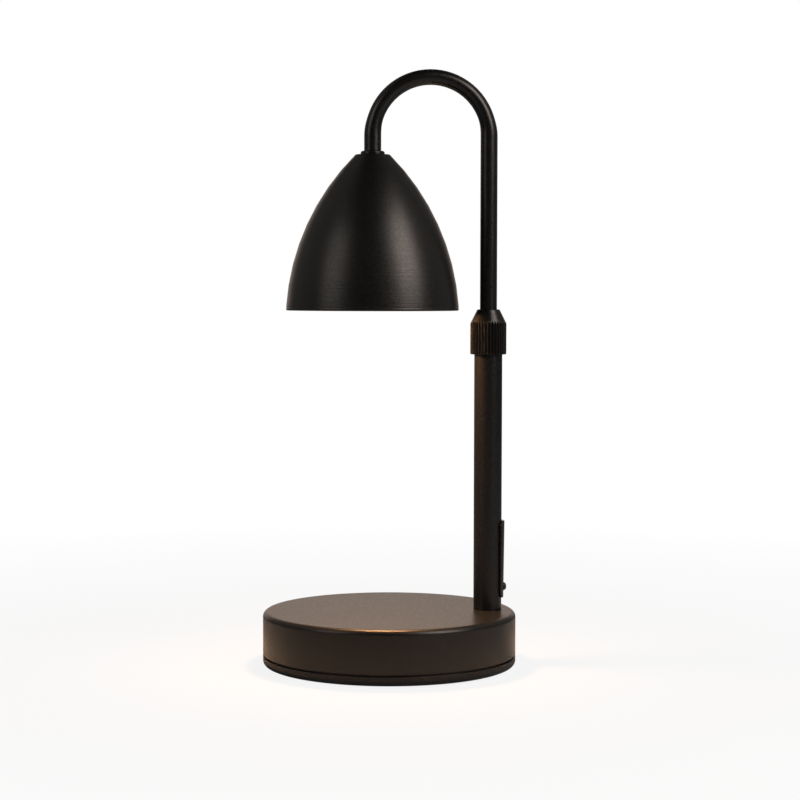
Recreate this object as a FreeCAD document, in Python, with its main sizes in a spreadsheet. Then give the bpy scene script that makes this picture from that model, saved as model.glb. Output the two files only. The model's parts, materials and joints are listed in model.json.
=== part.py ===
import FreeCAD, Part
import math
import os
import types

import Sketcher

Vector = FreeCAD.Vector

# A candle warmer lamp: a weighted round base, a post at its edge, and a crooked arm that slides and turns
# in the post, is gripped there by a knurled collar, and carries a bell shade with a halogen lamp inside.
#
# Millimetres and degrees. Z is up from the table, the base is centred on the origin, and the post stands
# on +X, so that the arm's crook lies in the XZ plane. Names that end in _gap are clearances.

SIZES = {
    # base: a drawn steel cup over a cast weight, closed from below by a moulded cover
    "base_dia": 139.7,
    "shell_height": 23.5,
    "shell_wall": 1.2,
    "shell_round": 3.0,
    "shadow_gap": 1.0,
    "cover_rim_height": 5.2,
    "cover_floor": 2.0,
    "cover_round": 2.7,
    "spigot_gap": 0.25,
    "spigot_wall": 1.6,
    "spigot_height": 3.8,
    "weight_gap": 2.65,
    "weight_thickness": 10.0,
    "weight_bevel": 1.5,
    "foot_dia": 12.0,
    "foot_height": 2.0,
    "foot_sunk": 1.0,
    "foot_round": 0.8,
    "foot_gap": 0.2,
    "foot_inset": 21.85,
    "foot_count": 4,
    "foot_angle": 45.0,
    # the three screws that hold the cover up against the weight
    "boss_dia": 10.0,
    "boss_inset": 19.85,
    "boss_count": 3,
    "boss_angle": 60.0,
    "cover_screw_dia": 3.0,
    "cover_screw_head_dia": 5.5,
    "cover_screw_head_height": 2.1,
    "cover_screw_sunk": 2.9,
    "cover_screw_bite": 6.5,
    "cover_screw_bevel": 0.5,
    "tap_run_out": 1.5,
    "screw_hole_gap": 0.2,
    "screw_head_gap": 0.6,
    "thread_gap": 0.05,
    # cord inlet in the back wall of the base
    "inlet_rise": 6.0,
    "inlet_dia": 9.8,
    "inlet_bore_dia": 6.6,
    "inlet_lip": 1.2,
    "inlet_lip_dia": 11.8,
    "inlet_lip_round": 0.5,
    "inlet_barb_dia": 11.0,
    "inlet_barb_length": 3.0,
    "inlet_barb_gap": 0.33,
    "inlet_neck_gap": 0.1,
    "inlet_notch_gap": 0.2,
    # two-pole terminal block under the weight
    "terminal_length": 20.0,
    "terminal_width": 18.0,
    "terminal_height": 9.0,
    "terminal_place": 14.0,
    "terminal_pitch": 9.0,
    "terminal_screw_pitch": 10.0,
    "terminal_screw_dia": 3.0,
    "terminal_screw_sunk": 0.6,
    "barrel_dia": 4.8,
    "barrel_wall": 0.9,
    "barrel_inset": 1.0,
    "fixing_screw_head_dia": 4.6,
    "fixing_screw_head_height": 1.6,
    "fixing_screw_bite": 6.0,
    # post: a steel tube on a plug that a hollow stud draws down on the base
    "post_dia": 15.5,
    "post_wall": 0.9,
    "post_length": 145.7,
    "post_inset": 15.15,
    "seat_depth": 0.4,
    "seat_gap": 0.15,
    "plug_length": 16.7,
    "plug_gap": 0.05,
    "stud_dia": 9.9,
    "stud_bore_dia": 6.6,
    "stud_length": 30.0,
    "stud_bite": 10.4,
    "stud_gap": 0.4,
    "stud_end_gap": 0.4,
    "washer_dia": 20.0,
    "washer_thickness": 1.6,
    "lock_washer_dia": 16.0,
    "lock_washer_thickness": 1.2,
    "lock_washer_slit": 1.5,
    "nut_flats": 17.0,
    "nut_height": 5.0,
    "nut_corner_reach": 1.3,
    # cover over the wiring window in the post
    "window_rise": 20.3,
    "window_height": 24.0,
    "window_width": 8.0,
    "plate_rise": 6.7,
    "plate_height": 42.8,
    "plate_width": 12.5,
    "plate_low_thickness": 1.1,
    "plate_top_thickness": 1.6,
    "plate_corner": 3.0,
    "plate_gap": 0.05,
    "plate_key_gap": 0.15,
    "plate_screw_rise": 5.9,
    "plate_screw_dia": 2.5,
    "plate_screw_head_dia": 4.6,
    "plate_screw_head_height": 1.9,
    "plate_screw_head_round": 0.9,
    "plate_screw_spot": 0.35,
    "plate_screw_length": 4.4,
    # clamp at the top of the post
    "ferrule_spigot": 8.0,
    "ferrule_head_dia": 15.2,
    "ferrule_head_height": 8.0,
    "ferrule_pocket": 4.0,
    "collet_dia": 12.4,
    "collet_nose_dia": 10.2,
    "collet_shank": 4.8,
    "collet_taper": 7.5,
    "collet_lift_gap": 0.2,
    "collet_gap": 0.1,
    "collet_slit": 0.8,
    "collet_slit_rise": 1.8,
    "collet_slit_count": 4,
    "collar_dia": 20.0,
    "collar_height": 24.8,
    "collar_taper": 7.8,
    "collar_nose_dia": 12.3,
    "collar_overlap": 3.6,
    "collar_skirt_gap": 0.15,
    "collar_thread_gap": 0.1,
    "collar_end_gap": 1.0,
    "collar_step_gap": 0.5,
    "collar_bevel": 0.4,
    "collar_nose_gap": 0.3,
    "tooth_count": 36,
    "tooth_depth": 0.35,
    "tooth_groove": 1.25,
    # arm: a bent tube that slides and turns in the post on a bush
    "arm_dia": 9.4,
    "arm_wall": 0.8,
    "arm_bend": 32.1,
    "arm_apex": 329.0,
    "arm_drop": 8.5,
    "slide_gap": 0.05,
    "bush_length": 12.0,
    "bush_gap": 0.07,
    "bush_stop_gap": 0.3,
    "clip_dia": 11.8,
    "clip_thickness": 0.8,
    "clip_sunk": 1.5,
    "clip_gap": 0.1,
    "clip_groove": 0.2,
    "clip_opening": 40.0,
    "arm_tail": 1.2,
    # two-core lead
    "lead_dia": 1.8,
    "lead_spacing": 1.9,
    "lead_tail": 3.5,
    "lead_straight": 1.5,
    "lead_strip": 3.0,
    "coil_dia": 12.4,
    # neck between the arm and the shade
    "neck_ring_dia": 13.2,
    "neck_ring_height": 2.0,
    "neck_ring_bevel": 0.6,
    "nipple_dia": 7.7,
    "nipple_bore_dia": 5.0,
    "nipple_reach": 7.8,
    "nipple_tail": 1.6,
    "neck_washer_dia": 12.0,
    "neck_washer_thickness": 1.0,
    "neck_nut_flats": 12.0,
    "neck_nut_height": 3.5,
    "neck_hole_gap": 0.15,
    # shade: one spun bell whose side is a single arc, with its edge rolled inwards
    "shade_dia": 95.0,
    "shade_height": 85.2,
    "shade_crown_dia": 19.0,
    "shade_crown_round": 1.2,
    "shade_bulge": 130.05,
    "shade_wall": 0.9,
    "shade_bead": 0.9,
    # bracket and lampholder
    "bracket_height": 16.3,
    "bracket_width": 10.0,
    "bracket_thickness": 1.0,
    "bracket_web": 14.0,
    "bracket_span": 27.0,
    "bracket_leg": 7.5,
    "bracket_foot": 7.5,
    "holder_dia": 26.0,
    "holder_height": 12.0,
    "holder_bevel": 1.0,
    "face_thickness": 3.0,
    "face_recess": 1.8,
    "holder_screw_spacing": 18.0,
    "holder_screw_dia": 3.0,
    "holder_screw_head_dia": 5.4,
    "holder_screw_head_height": 1.6,
    "holder_screw_tail": 1.2,
    "contact_thickness": 0.5,
    "contact_dia": 4.8,
    "crimp_dia": 2.4,
    "crimp_length": 4.0,
    # twist-lock halogen lamp
    "lamp_length": 45.5,
    "lamp_dia": 50.0,
    "lamp_gap": 0.2,
    "lamp_base_height": 10.0,
    "lamp_base_dia": 22.0,
    "lamp_neck_dia": 24.0,
    "lamp_rim_height": 4.2,
    "lamp_bowl_radius": 46.0,
    "lamp_wall": 1.4,
    "lens_thickness": 1.2,
    "lens_sunk": 0.6,
    "lens_gap": 0.1,
    "stem_dia": 12.0,
    "stem_height": 4.0,
    "capsule_dia": 10.0,
    "capsule_length": 22.0,
    "capsule_wall": 0.8,
    "filament_dia": 1.8,
    "filament_length": 7.0,
    "filament_height": 12.0,
    "filament_wire_dia": 0.8,
    "pin_spacing": 10.0,
    "pin_dia": 2.6,
    "pin_head_dia": 4.8,
    "pin_head_height": 3.1,
    "pin_head_round": 0.5,
    "pin_end_gap": 0.3,
    "pin_side_gap": 0.3,
    "twist_angle": 30.0,
}

document = FreeCAD.newDocument("candle_warmer_lamp")
sheet = document.addObject("Spreadsheet::Sheet", "sizes")
for row, (alias, number) in enumerate(SIZES.items(), start=1):
    sheet.set(f"A{row}", str(number))
    sheet.setAlias(f"A{row}", alias)
document.recompute()


# ---------------------------------------------------------------------- sizes that keep their formula


class Size:
    """A number, together with the formula over the sheet that the document keeps for it."""

    def __init__(self, number, formula=None):
        self.number = float(number)
        self.formula = formula or f"({self.number:.9g})"

    def __add__(self, other):
        other = as_size(other)
        return Size(self.number + other.number, f"({self.formula} + {other.formula})")

    def __sub__(self, other):
        other = as_size(other)
        return Size(self.number - other.number, f"({self.formula} - {other.formula})")

    def __mul__(self, other):
        other = as_size(other)
        return Size(self.number * other.number, f"({self.formula} * {other.formula})")

    def __truediv__(self, other):
        other = as_size(other)
        return Size(self.number / other.number, f"({self.formula} / {other.formula})")

    def __neg__(self):
        return Size(-self.number, f"(0 - {self.formula})")

    def __rsub__(self, other):
        return as_size(other) - self

    __radd__ = __add__
    __rmul__ = __mul__


def as_size(thing):
    return thing if isinstance(thing, Size) else Size(thing)


def root(square):
    return Size(math.sqrt(square.number), f"sqrt({square.formula})")


def sine(angle):
    return Size(math.sin(math.radians(angle.number)), f"sin({angle.formula})")


def cosine(angle):
    return Size(math.cos(math.radians(angle.number)), f"cos({angle.formula})")


def miter(along, across):
    """The tangent of half the angle whose own tangent is across / along."""
    slope = root(along * along + across * across)
    return (slope - along) / across


size = types.SimpleNamespace(**{alias: Size(number, f"sizes.{alias}") for alias, number in SIZES.items()})


def bind(thing, property_name, value):
    thing.setExpression(property_name, as_size(value).formula)


# --------------------------------------------------------------------------------- sketches and features


class Round:
    """An arc from one corner of an outline to the next: its centre, and which way it goes round."""

    def __init__(self, x, y, clockwise=False):
        self.x, self.y = as_size(x), as_size(y)
        self.clockwise = clockwise


def new_piece(label, x=None, y=None, z=None, turn=None):
    body = document.addObject("PartDesign::Body", label)
    body.Label = label
    for property_name, value in (("Base.x", x), ("Base.y", y), ("Base.z", z), ("Rotation.Angle", turn)):
        if value is not None:
            bind(body, "Placement." + property_name, value)
    return body


def origin_feature(body, role):
    return next(feature for feature in body.Origin.OriginFeatures if feature.Role == role)


def new_sketch(body, name, plane, height=None):
    sketch = body.newObject("Sketcher::SketchObject", name)
    sketch.AttachmentSupport = (origin_feature(body, plane), [""])
    sketch.MapMode = "FlatFace"
    if height is not None:
        bind(sketch, "AttachmentOffset.Base.z", height)
    return sketch


def hold(sketch, element, end, x, y):
    """Holds one point of a sketch element at its own x and y from the sketch's origin, or at one of them."""
    for kind, axis, place in (("DistanceX", -2, x), ("DistanceY", -1, y)):
        if place is None:
            continue
        place = as_size(place)
        if place.number == 0:
            sketch.addConstraint(Sketcher.Constraint("PointOnObject", element, end, axis))
        else:
            index = sketch.addConstraint(Sketcher.Constraint(kind, -1, 1, element, end, place.number))
            bind(sketch, f"Constraints[{index}]", place)


def hold_radius(sketch, element, radius):
    index = sketch.addConstraint(Sketcher.Constraint("Radius", element, radius.number))
    bind(sketch, f"Constraints[{index}]", radius)


def draw_side(sketch, start, end, bend):
    """Draws one side of an outline, and returns its element and the numbers of its two ends."""
    if bend is None:
        return sketch.addGeometry(Part.LineSegment(start, end), False), 1, 2
    low, high = (end, start) if bend.clockwise else (start, end)
    centre = Vector(bend.x.number, bend.y.number, 0)
    first = math.atan2(low.y - centre.y, low.x - centre.x)
    last = math.atan2(high.y - centre.y, high.x - centre.x)
    if last <= first:
        last += 2 * math.pi
    circle = Part.Circle(centre, Vector(0, 0, 1), (start - centre).Length)
    arc = sketch.addGeometry(Part.ArcOfCircle(circle, first, last), False)
    flat = abs(end.x - start.x) > abs(end.y - start.y)
    hold(sketch, arc, 3, None if flat else bend.x, bend.y if flat else None)
    return (arc, 2, 1) if bend.clockwise else (arc, 1, 2)


def draw_run(sketch, corners, closed=True):
    """Draws an outline. A corner is (x, y), or (x, y, Round) where an arc leaves it for the next one."""
    places = [Vector(as_size(corner[0]).number, as_size(corner[1]).number, 0) for corner in corners]
    sides = []
    for index in range(len(corners) if closed else len(corners) - 1):
        bend = corners[index][2] if len(corners[index]) == 3 else None
        sides.append(draw_side(sketch, places[index], places[(index + 1) % len(corners)], bend))
    for index, (element, start, end) in enumerate(sides):
        hold(sketch, element, start, corners[index][0], corners[index][1])
        if closed or index + 1 < len(sides):
            following = sides[(index + 1) % len(sides)]
            joint = Sketcher.Constraint("Coincident", element, end, following[0], following[1])
            sketch.addConstraint(joint)
        else:
            hold(sketch, element, end, corners[-1][0], corners[-1][1])


def draw_circle(sketch, x, y, radius):
    radius = as_size(radius)
    centre = Vector(as_size(x).number, as_size(y).number, 0)
    circle = sketch.addGeometry(Part.Circle(centre, Vector(0, 0, 1), radius.number), False)
    hold(sketch, circle, 3, x, y)
    hold_radius(sketch, circle, radius)


def box_corners(low_x, low_y, high_x, high_y):
    return [(low_x, low_y), (high_x, low_y), (high_x, high_y), (low_x, high_y)]


def finish_feature(body, feature, removes):
    """Recomputes the piece, and stops where a cut took nothing away or a pad added nothing."""
    before = body.Tip.BaseFeature.Shape.Volume if body.Tip.BaseFeature else 0.0
    document.recompute()
    after = body.Shape.Volume
    if removes and not after < before or not removes and not after > before:
        raise RuntimeError(f"{body.Label}.{feature.Name} changed nothing")
    return feature


def turned(body, name, *outlines, plane="XZ_Plane", axis="V_Axis", about=None, cut=False, angle=None):
    """Turns outlines on a lathe, about an axis of the sketch or an upright line at x = about."""
    profile = new_sketch(body, name + "_profile", plane)
    for corners in outlines:
        draw_run(profile, corners)
    if about is not None:
        foot = Vector(about.number, 0, 0)
        line = profile.addGeometry(Part.LineSegment(foot, foot + Vector(0, 1, 0)), True)
        hold(profile, line, 1, about, 0)
        hold(profile, line, 2, about, 1)
        axis = "Axis0"
    feature = body.newObject("PartDesign::Groove" if cut else "PartDesign::Revolution", name)
    feature.Profile = profile
    feature.ReferenceAxis = (profile, [axis])
    feature.Angle = 360
    if angle is not None:
        feature.Midplane = True
        bind(feature, "Angle", angle)
    return finish_feature(body, feature, cut)


def padded(body, sketch, name, height, both_ways=False):
    feature = body.newObject("PartDesign::Pad", name)
    feature.Profile = sketch
    feature.SideType = "Symmetric" if both_ways else "One side"
    bind(feature, "Length", height)
    return finish_feature(body, feature, False)


def pocketed(body, sketch, name, depth, reverse=False, both_ways=False):
    """Cuts against the sketch's normal, or along it if reversed."""
    feature = body.newObject("PartDesign::Pocket", name)
    feature.Profile = sketch
    feature.SideType = "Symmetric" if both_ways else "One side"
    feature.Reversed = reverse
    bind(feature, "Length", depth)
    return finish_feature(body, feature, True)


def pin(body, name, x, y, radius, low, high):
    """Adds an upright cylinder between two heights."""
    sketch = new_sketch(body, name + "_circle", "XY_Plane", low)
    draw_circle(sketch, x, y, radius)
    return padded(body, sketch, name, high - low)


def bore(body, name, x, y, radius, low, high):
    """Cuts an upright hole between two heights."""
    sketch = new_sketch(body, name + "_circle", "XY_Plane", high)
    draw_circle(sketch, x, y, radius)
    return pocketed(body, sketch, name, high - low)


def side_bore(body, name, height, radius, reach):
    """Cuts a level hole from the piece's axis out along +X, at a height."""
    sketch = new_sketch(body, name + "_circle", "YZ_Plane")
    draw_circle(sketch, 0, height, radius)
    return pocketed(body, sketch, name, reach, reverse=True)


def repeated(body, name, features, count):
    """Repeats features round the piece's Z axis."""
    pattern = body.newObject("PartDesign::PolarPattern", name)
    pattern.Originals = features
    pattern.Axis = (origin_feature(body, "Z_Axis"), [""])
    pattern.Angle = 360
    bind(pattern, "Occurrences", count)
    body.Tip = pattern
    document.recompute()
    return pattern


def filleted(body, name, radius, wanted):
    """Rounds the edges of the piece that the test accepts, in the piece's own frame."""
    base = body.Tip
    names = [f"Edge{i}" for i, edge in enumerate(base.Shape.Edges, start=1) if wanted(edge)]
    if not names:
        raise RuntimeError(f"{body.Label}.{name} found no edge")
    feature = body.newObject("PartDesign::Fillet", name)
    feature.Base = (base, names)
    bind(feature, "Radius", radius)
    document.recompute()
    return feature


def ring(inner, outer, low, high):
    return box_corners(inner, low, outer, high)


def hexagon(flats):
    """Corners of a hexagon whose flats face +X and -X."""
    half = flats / 2
    side = half / math.cos(math.radians(30))
    right = [(Size(0), -side), (half, -side / 2), (half, side / 2)]
    return right + [(-x, -y) for x, y in right]


def arc_slot(sketch, circle_radius, half_width, first, last):
    """Draws a slot along a circle about the origin, from one angle to another, with round ends."""
    inner, outer = circle_radius - half_width, circle_radius + half_width

    def place(radius, angle):
        return radius * cosine(angle), radius * sine(angle)

    draw_run(sketch, [
        (*place(outer, first), Round(0, 0)),
        (*place(outer, last), Round(*place(circle_radius, last))),
        (*place(inner, last), Round(0, 0, clockwise=True)),
        (*place(inner, first), Round(*place(circle_radius, first))),
    ])


# ------------------------------------------------------------------------- heights and radii in common

same_place = 1e-4
pair = Size(2)

base_radius = size.base_dia / 2
cover_low = size.foot_height - size.foot_sunk
cover_inside = cover_low + size.cover_floor
cover_rim = cover_low + size.cover_rim_height
shell_low = cover_rim + size.shadow_gap
base_top = shell_low + size.shell_height
weight_top = base_top - size.shell_wall
weight_low = weight_top - size.weight_thickness
shell_inner = base_radius - size.shell_wall
cover_screw_seat = cover_inside + size.cover_screw_sunk
inlet_height = shell_low + size.inlet_rise
foot_circle = base_radius - size.foot_inset
boss_circle = base_radius - size.boss_inset

post_x = base_radius - size.post_inset
post_radius = size.post_dia / 2
post_inner = post_radius - size.post_wall
post_low = base_top - size.seat_depth
post_high = post_low + size.post_length
plug_high = post_low + size.plug_length
plug_radius = post_inner - size.plug_gap
stud_radius = size.stud_dia / 2
stud_high = post_low + size.stud_bite
stud_low = stud_high - size.stud_length
washer_low = weight_low - size.washer_thickness
lock_washer_low = washer_low - size.lock_washer_thickness
nut_low = lock_washer_low - size.nut_height
plate_low = base_top + size.plate_rise
plate_screw_height = plate_low + size.plate_screw_rise
plate_inner = post_radius + size.plate_gap
plate_screw_seat = plate_inner + size.plate_low_thickness - size.plate_screw_spot

ferrule_low = post_high - size.ferrule_spigot
ferrule_high = post_high + size.ferrule_head_height
ferrule_floor = ferrule_high - size.ferrule_pocket
collet_low = ferrule_floor + size.collet_lift_gap
collet_shoulder = collet_low + size.collet_shank
collet_high = collet_shoulder + size.collet_taper
collet_radius = size.collet_dia / 2
collet_nose = size.collet_nose_dia / 2
collar_radius = size.collar_dia / 2
collar_low = post_high - size.collar_overlap
collar_high = collar_low + size.collar_height

arm_radius = size.arm_dia / 2
arm_inner = arm_radius - size.arm_wall
slide_bore = arm_radius + size.slide_gap
bush_high = ferrule_low - size.bush_stop_gap
bush_low = bush_high - size.bush_length
arm_low = bush_low - size.arm_tail
bend_height = size.arm_apex - arm_radius - size.arm_bend
arm_end = bend_height - size.arm_drop
lead_low = arm_low - size.lead_tail
lamp_x = post_x - size.arm_bend * 2

shade_top = arm_end - size.neck_ring_height
shade_under = shade_top - size.shade_wall
shade_low = shade_top - size.shade_height
nipple_radius = size.nipple_dia / 2
neck_bore = nipple_radius + size.thread_gap
web_low = shade_under - size.bracket_thickness
neck_washer_low = web_low - size.neck_washer_thickness
neck_nut_low = neck_washer_low - size.neck_nut_height
nipple_low = neck_nut_low - size.nipple_tail
holder_high = shade_under - size.bracket_height
face_high = holder_high - size.holder_height
face_low = face_high - size.face_thickness
face_floor = face_low + size.face_recess
lamp_high = face_low - size.lamp_gap
lamp_low = lamp_high - size.lamp_length
pin_circle = size.pin_spacing / 2
pin_head_low = face_high + size.pin_end_gap
pin_high = pin_head_low + size.pin_head_height
contact_low = pin_high + size.pin_end_gap
contact_high = contact_low + size.contact_thickness
crimp_high = contact_high + size.crimp_length


# ---------------------------------------------------------------------------------------------- base


def make_base_shell():
    """Drawn steel cup, upside down, with a coined seat for the post and a hole for the cord inlet."""
    body = new_piece("base_shell")
    inner_round = size.shell_round - size.shell_wall
    crown, side = weight_top - inner_round, shell_inner - inner_round
    turned(body, "cup", [
        (0, weight_top),
        (side, weight_top, Round(side, crown, clockwise=True)),
        (shell_inner, crown),
        (shell_inner, shell_low),
        (base_radius, shell_low),
        (base_radius, crown, Round(side, crown)),
        (side, base_top),
        (0, base_top),
    ])
    bore(body, "post_seat", post_x, 0, post_radius + size.seat_gap, post_low, base_top)
    bore(body, "stud_hole", post_x, 0, stud_radius + size.stud_gap, weight_top, post_low)
    inlet = new_sketch(body, "inlet_circle", "XZ_Plane")
    draw_circle(inlet, 0, inlet_height, size.inlet_dia / 2)
    pocketed(body, inlet, "inlet_hole", base_radius + size.shell_wall)
    return body


def make_base_weight():
    """Cast-iron disc under the crown of the shell, tapped from below for the cover's screws."""
    body = new_piece("base_weight")
    radius = shell_inner - size.weight_gap
    turned(body, "disc", [
        (0, weight_low),
        (radius, weight_low),
        (radius, weight_top - size.weight_bevel),
        (radius - size.weight_bevel, weight_top),
        (0, weight_top),
    ])
    bore(body, "stud_hole", post_x, 0, stud_radius + size.stud_gap, weight_low, weight_top)
    fixing = terminal_screw_radius + size.thread_gap
    fixing_end = weight_low + size.fixing_screw_bite + size.tap_run_out
    bore(body, "fixing_hole", size.terminal_place, 0, fixing, weight_low, fixing_end)
    x, y = boss_place()
    tapped = size.cover_screw_dia / 2 + size.thread_gap
    tapped_end = weight_low + size.cover_screw_bite + size.tap_run_out
    hole = bore(body, "tapped_hole", x, y, tapped, weight_low, tapped_end)
    repeated(body, "tapped_holes", [hole], size.boss_count)
    return body


def boss_place():
    return boss_circle * cosine(size.boss_angle), boss_circle * sine(size.boss_angle)


def make_bottom_cover():
    """Moulded cover: a dished floor, a spigot that centres the shell, three screw bosses, foot recesses."""
    body = new_piece("bottom_cover")
    spigot = shell_inner - size.spigot_gap
    spigot_high = cover_rim + size.spigot_height
    side, corner = base_radius - size.cover_round, cover_low + size.cover_round
    turned(body, "dish", [
        (0, cover_low),
        (side, cover_low, Round(side, corner)),
        (base_radius, corner),
        (base_radius, cover_rim),
        (spigot, cover_rim),
        (spigot, spigot_high),
        (spigot - size.spigot_wall, spigot_high),
        (spigot - size.spigot_wall, cover_inside),
        (0, cover_inside),
    ])
    x, y = boss_place()
    hole = size.cover_screw_dia / 2 + size.screw_hole_gap
    recess = size.cover_screw_head_dia / 2 + size.screw_head_gap
    boss = pin(body, "boss", x, y, size.boss_dia / 2, cover_inside, weight_low)
    repeated(body, "bosses", [boss], size.boss_count)
    boss_recess = bore(body, "boss_recess", x, y, recess, cover_low, cover_screw_seat)
    boss_hole = bore(body, "boss_hole", x, y, hole, cover_screw_seat, weight_low)
    repeated(body, "boss_bores", [boss_recess, boss_hole], size.boss_count)
    foot_x, foot_y = foot_circle * cosine(size.foot_angle), foot_circle * sine(size.foot_angle)
    foot_radius = size.foot_dia / 2 + size.foot_gap
    foot = bore(body, "foot_recess", foot_x, foot_y, foot_radius, cover_low, size.foot_height)
    repeated(body, "foot_recesses", [foot], size.foot_count)
    notch = new_sketch(body, "inlet_notch_outline", "XZ_Plane")
    reach = size.inlet_lip_dia / 2 + size.inlet_notch_gap
    draw_run(notch, box_corners(-reach, cover_rim, reach, spigot_high))
    pocketed(body, notch, "inlet_notch", base_radius)
    return body


def make_cover_screws():
    """Pan-head screws up through the bosses into the weight."""
    body = new_piece("cover_screws", turn=size.boss_angle)
    shank = boss_circle + size.cover_screw_dia / 2
    head = boss_circle + size.cover_screw_head_dia / 2
    head_low = cover_screw_seat - size.cover_screw_head_height
    tip = weight_low + size.cover_screw_bite
    bevel = size.cover_screw_bevel
    screw = turned(body, "screw", [
        (boss_circle, head_low),
        (head - bevel, head_low),
        (head, head_low + bevel),
        (head, cover_screw_seat),
        (shank, cover_screw_seat),
        (shank, tip - bevel),
        (shank - bevel, tip),
        (boss_circle, tip),
    ], about=boss_circle)
    repeated(body, "screws", [screw], size.boss_count)
    return body


def make_rubber_feet():
    """Soft pads pressed into the recesses of the cover."""
    body = new_piece("rubber_feet", turn=size.foot_angle)
    edge = foot_circle + size.foot_dia / 2
    flat = edge - size.foot_round
    foot = turned(body, "foot", [
        (foot_circle, 0),
        (flat, 0, Round(flat, size.foot_round)),
        (edge, size.foot_round),
        (edge, size.foot_height),
        (foot_circle, size.foot_height),
    ], about=foot_circle)
    repeated(body, "feet", [foot], size.foot_count)
    return body


def make_cord_bushing():
    """Snap-in bushing in the back wall: a lip outside, a neck through the wall, barbs inside."""
    body = new_piece("cord_bushing", y=base_radius, z=inlet_height)
    hole = size.inlet_bore_dia / 2
    lip = size.inlet_lip_dia / 2
    neck = size.inlet_dia / 2 - size.inlet_neck_gap
    barb = size.inlet_barb_dia / 2
    barb_front = -(size.shell_wall + size.inlet_barb_gap)
    tail = barb_front - size.inlet_barb_length
    round_x, round_r = size.inlet_lip - size.inlet_lip_round, lip - size.inlet_lip_round
    turned(body, "bush", [
        (tail, hole),
        (size.inlet_lip, hole),
        (size.inlet_lip, round_r, Round(round_x, round_r)),
        (round_x, lip),
        (0, lip),
        (0, neck),
        (barb_front, neck),
        (barb_front, barb),
        (tail, neck),
    ], axis="H_Axis", plane="YZ_Plane")
    return body


# ------------------------------------------------------------------------------------ terminal block

terminal_low = weight_low - size.terminal_height
barrel_height = terminal_low + size.terminal_height / 2
barrel_radius = size.barrel_dia / 2
terminal_screw_radius = size.terminal_screw_dia / 2


def make_terminal_block():
    """Nylon block with two through bores for the barrels and a screw hole down to each clamping screw."""
    body = new_piece("terminal_block", x=size.terminal_place)
    half_length, half_width = size.terminal_length / 2, size.terminal_width / 2
    outline = new_sketch(body, "block_outline", "XY_Plane", terminal_low)
    draw_run(outline, box_corners(-half_length, -half_width, half_length, half_width))
    padded(body, outline, "block", size.terminal_height)
    bores = new_sketch(body, "barrel_circles", "YZ_Plane")
    for side in (-1, 1):
        draw_circle(bores, size.terminal_pitch / 2 * side, barrel_height, barrel_radius + size.thread_gap)
    pocketed(body, bores, "barrel_bores", size.terminal_length, both_ways=True)
    holes = new_sketch(body, "screw_circles", "XY_Plane", barrel_height)
    for x, y in terminal_screw_places():
        draw_circle(holes, x, y, terminal_screw_radius + size.screw_hole_gap)
    pocketed(body, holes, "screw_holes", size.terminal_height / 2)
    hole = terminal_screw_radius + size.screw_hole_gap
    bore(body, "fixing_hole", 0, 0, hole, terminal_low, weight_low)
    return body


def terminal_screw_places():
    x, y = size.terminal_screw_pitch / 2, size.terminal_pitch / 2
    return [(x * end, y * side) for end in (-1, 1) for side in (-1, 1)]


def make_terminal_barrels():
    """Brass tubes that join two wires end to end, one for each pole."""
    body = new_piece("terminal_barrels", x=size.terminal_place)
    rings = new_sketch(body, "barrel_circles", "YZ_Plane")
    for side in (-1, 1):
        for radius in (barrel_radius, barrel_radius - size.barrel_wall):
            draw_circle(rings, size.terminal_pitch / 2 * side, barrel_height, radius)
    padded(body, rings, "barrels", size.terminal_length - size.barrel_inset * 2, both_ways=True)
    holes = new_sketch(body, "screw_circles", "XY_Plane", barrel_height)
    for x, y in terminal_screw_places():
        draw_circle(holes, x, y, terminal_screw_radius + size.thread_gap)
    pocketed(body, holes, "screw_holes", barrel_radius)
    return body


def make_terminal_screws():
    """Four clamping screws in the barrels."""
    body = new_piece("terminal_screws", x=size.terminal_place)
    low = terminal_low + size.terminal_screw_sunk
    circles = new_sketch(body, "screw_circles", "XY_Plane", low)
    for x, y in terminal_screw_places():
        draw_circle(circles, x, y, terminal_screw_radius)
    padded(body, circles, "screws", barrel_height - size.lead_dia / 2 - size.thread_gap - low)
    return body


def make_terminal_fixing_screw():
    """Holds the block up against the weight."""
    body = new_piece("terminal_fixing_screw", x=size.terminal_place)
    head = size.fixing_screw_head_dia / 2
    head_low = terminal_low - size.fixing_screw_head_height
    tip = weight_low + size.fixing_screw_bite
    turned(body, "screw", [
        (0, head_low),
        (head, head_low),
        (head, terminal_low),
        (terminal_screw_radius, terminal_low),
        (terminal_screw_radius, tip),
        (0, tip),
    ])
    return body


# ---------------------------------------------------------------------------------------------- post


def make_post_tube():
    """Straight steel tube with a window for the wiring and a hole for the window cover's screw."""
    body = new_piece("post_tube", x=post_x)
    turned(body, "tube", ring(post_inner, post_radius, post_low, post_high))
    window = new_sketch(body, "window_outline", "YZ_Plane")
    low = base_top + size.window_rise
    half = size.window_width / 2
    draw_run(window, box_corners(-half, low, half, low + size.window_height))
    pocketed(body, window, "window", post_radius, reverse=True)
    hole = size.plate_screw_dia / 2 + size.screw_hole_gap
    side_bore(body, "screw_hole", plate_screw_height, hole, post_radius)
    return body


def make_post_plug():
    """Steel plug fixed in the foot of the tube: tapped for the stud below, open for the leads above."""
    body = new_piece("post_plug", x=post_x)
    wire_way = size.stud_bore_dia / 2
    thread = stud_radius + size.thread_gap
    turned(body, "plug", [
        (thread, post_low),
        (plug_radius, post_low),
        (plug_radius, plug_high),
        (wire_way, plug_high),
        (wire_way, stud_high + size.stud_end_gap),
        (thread, stud_high + size.stud_end_gap),
    ])
    hole = size.plate_screw_dia / 2 + size.thread_gap
    side_bore(body, "tapped_hole", plate_screw_height, hole, plug_radius)
    return body


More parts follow.
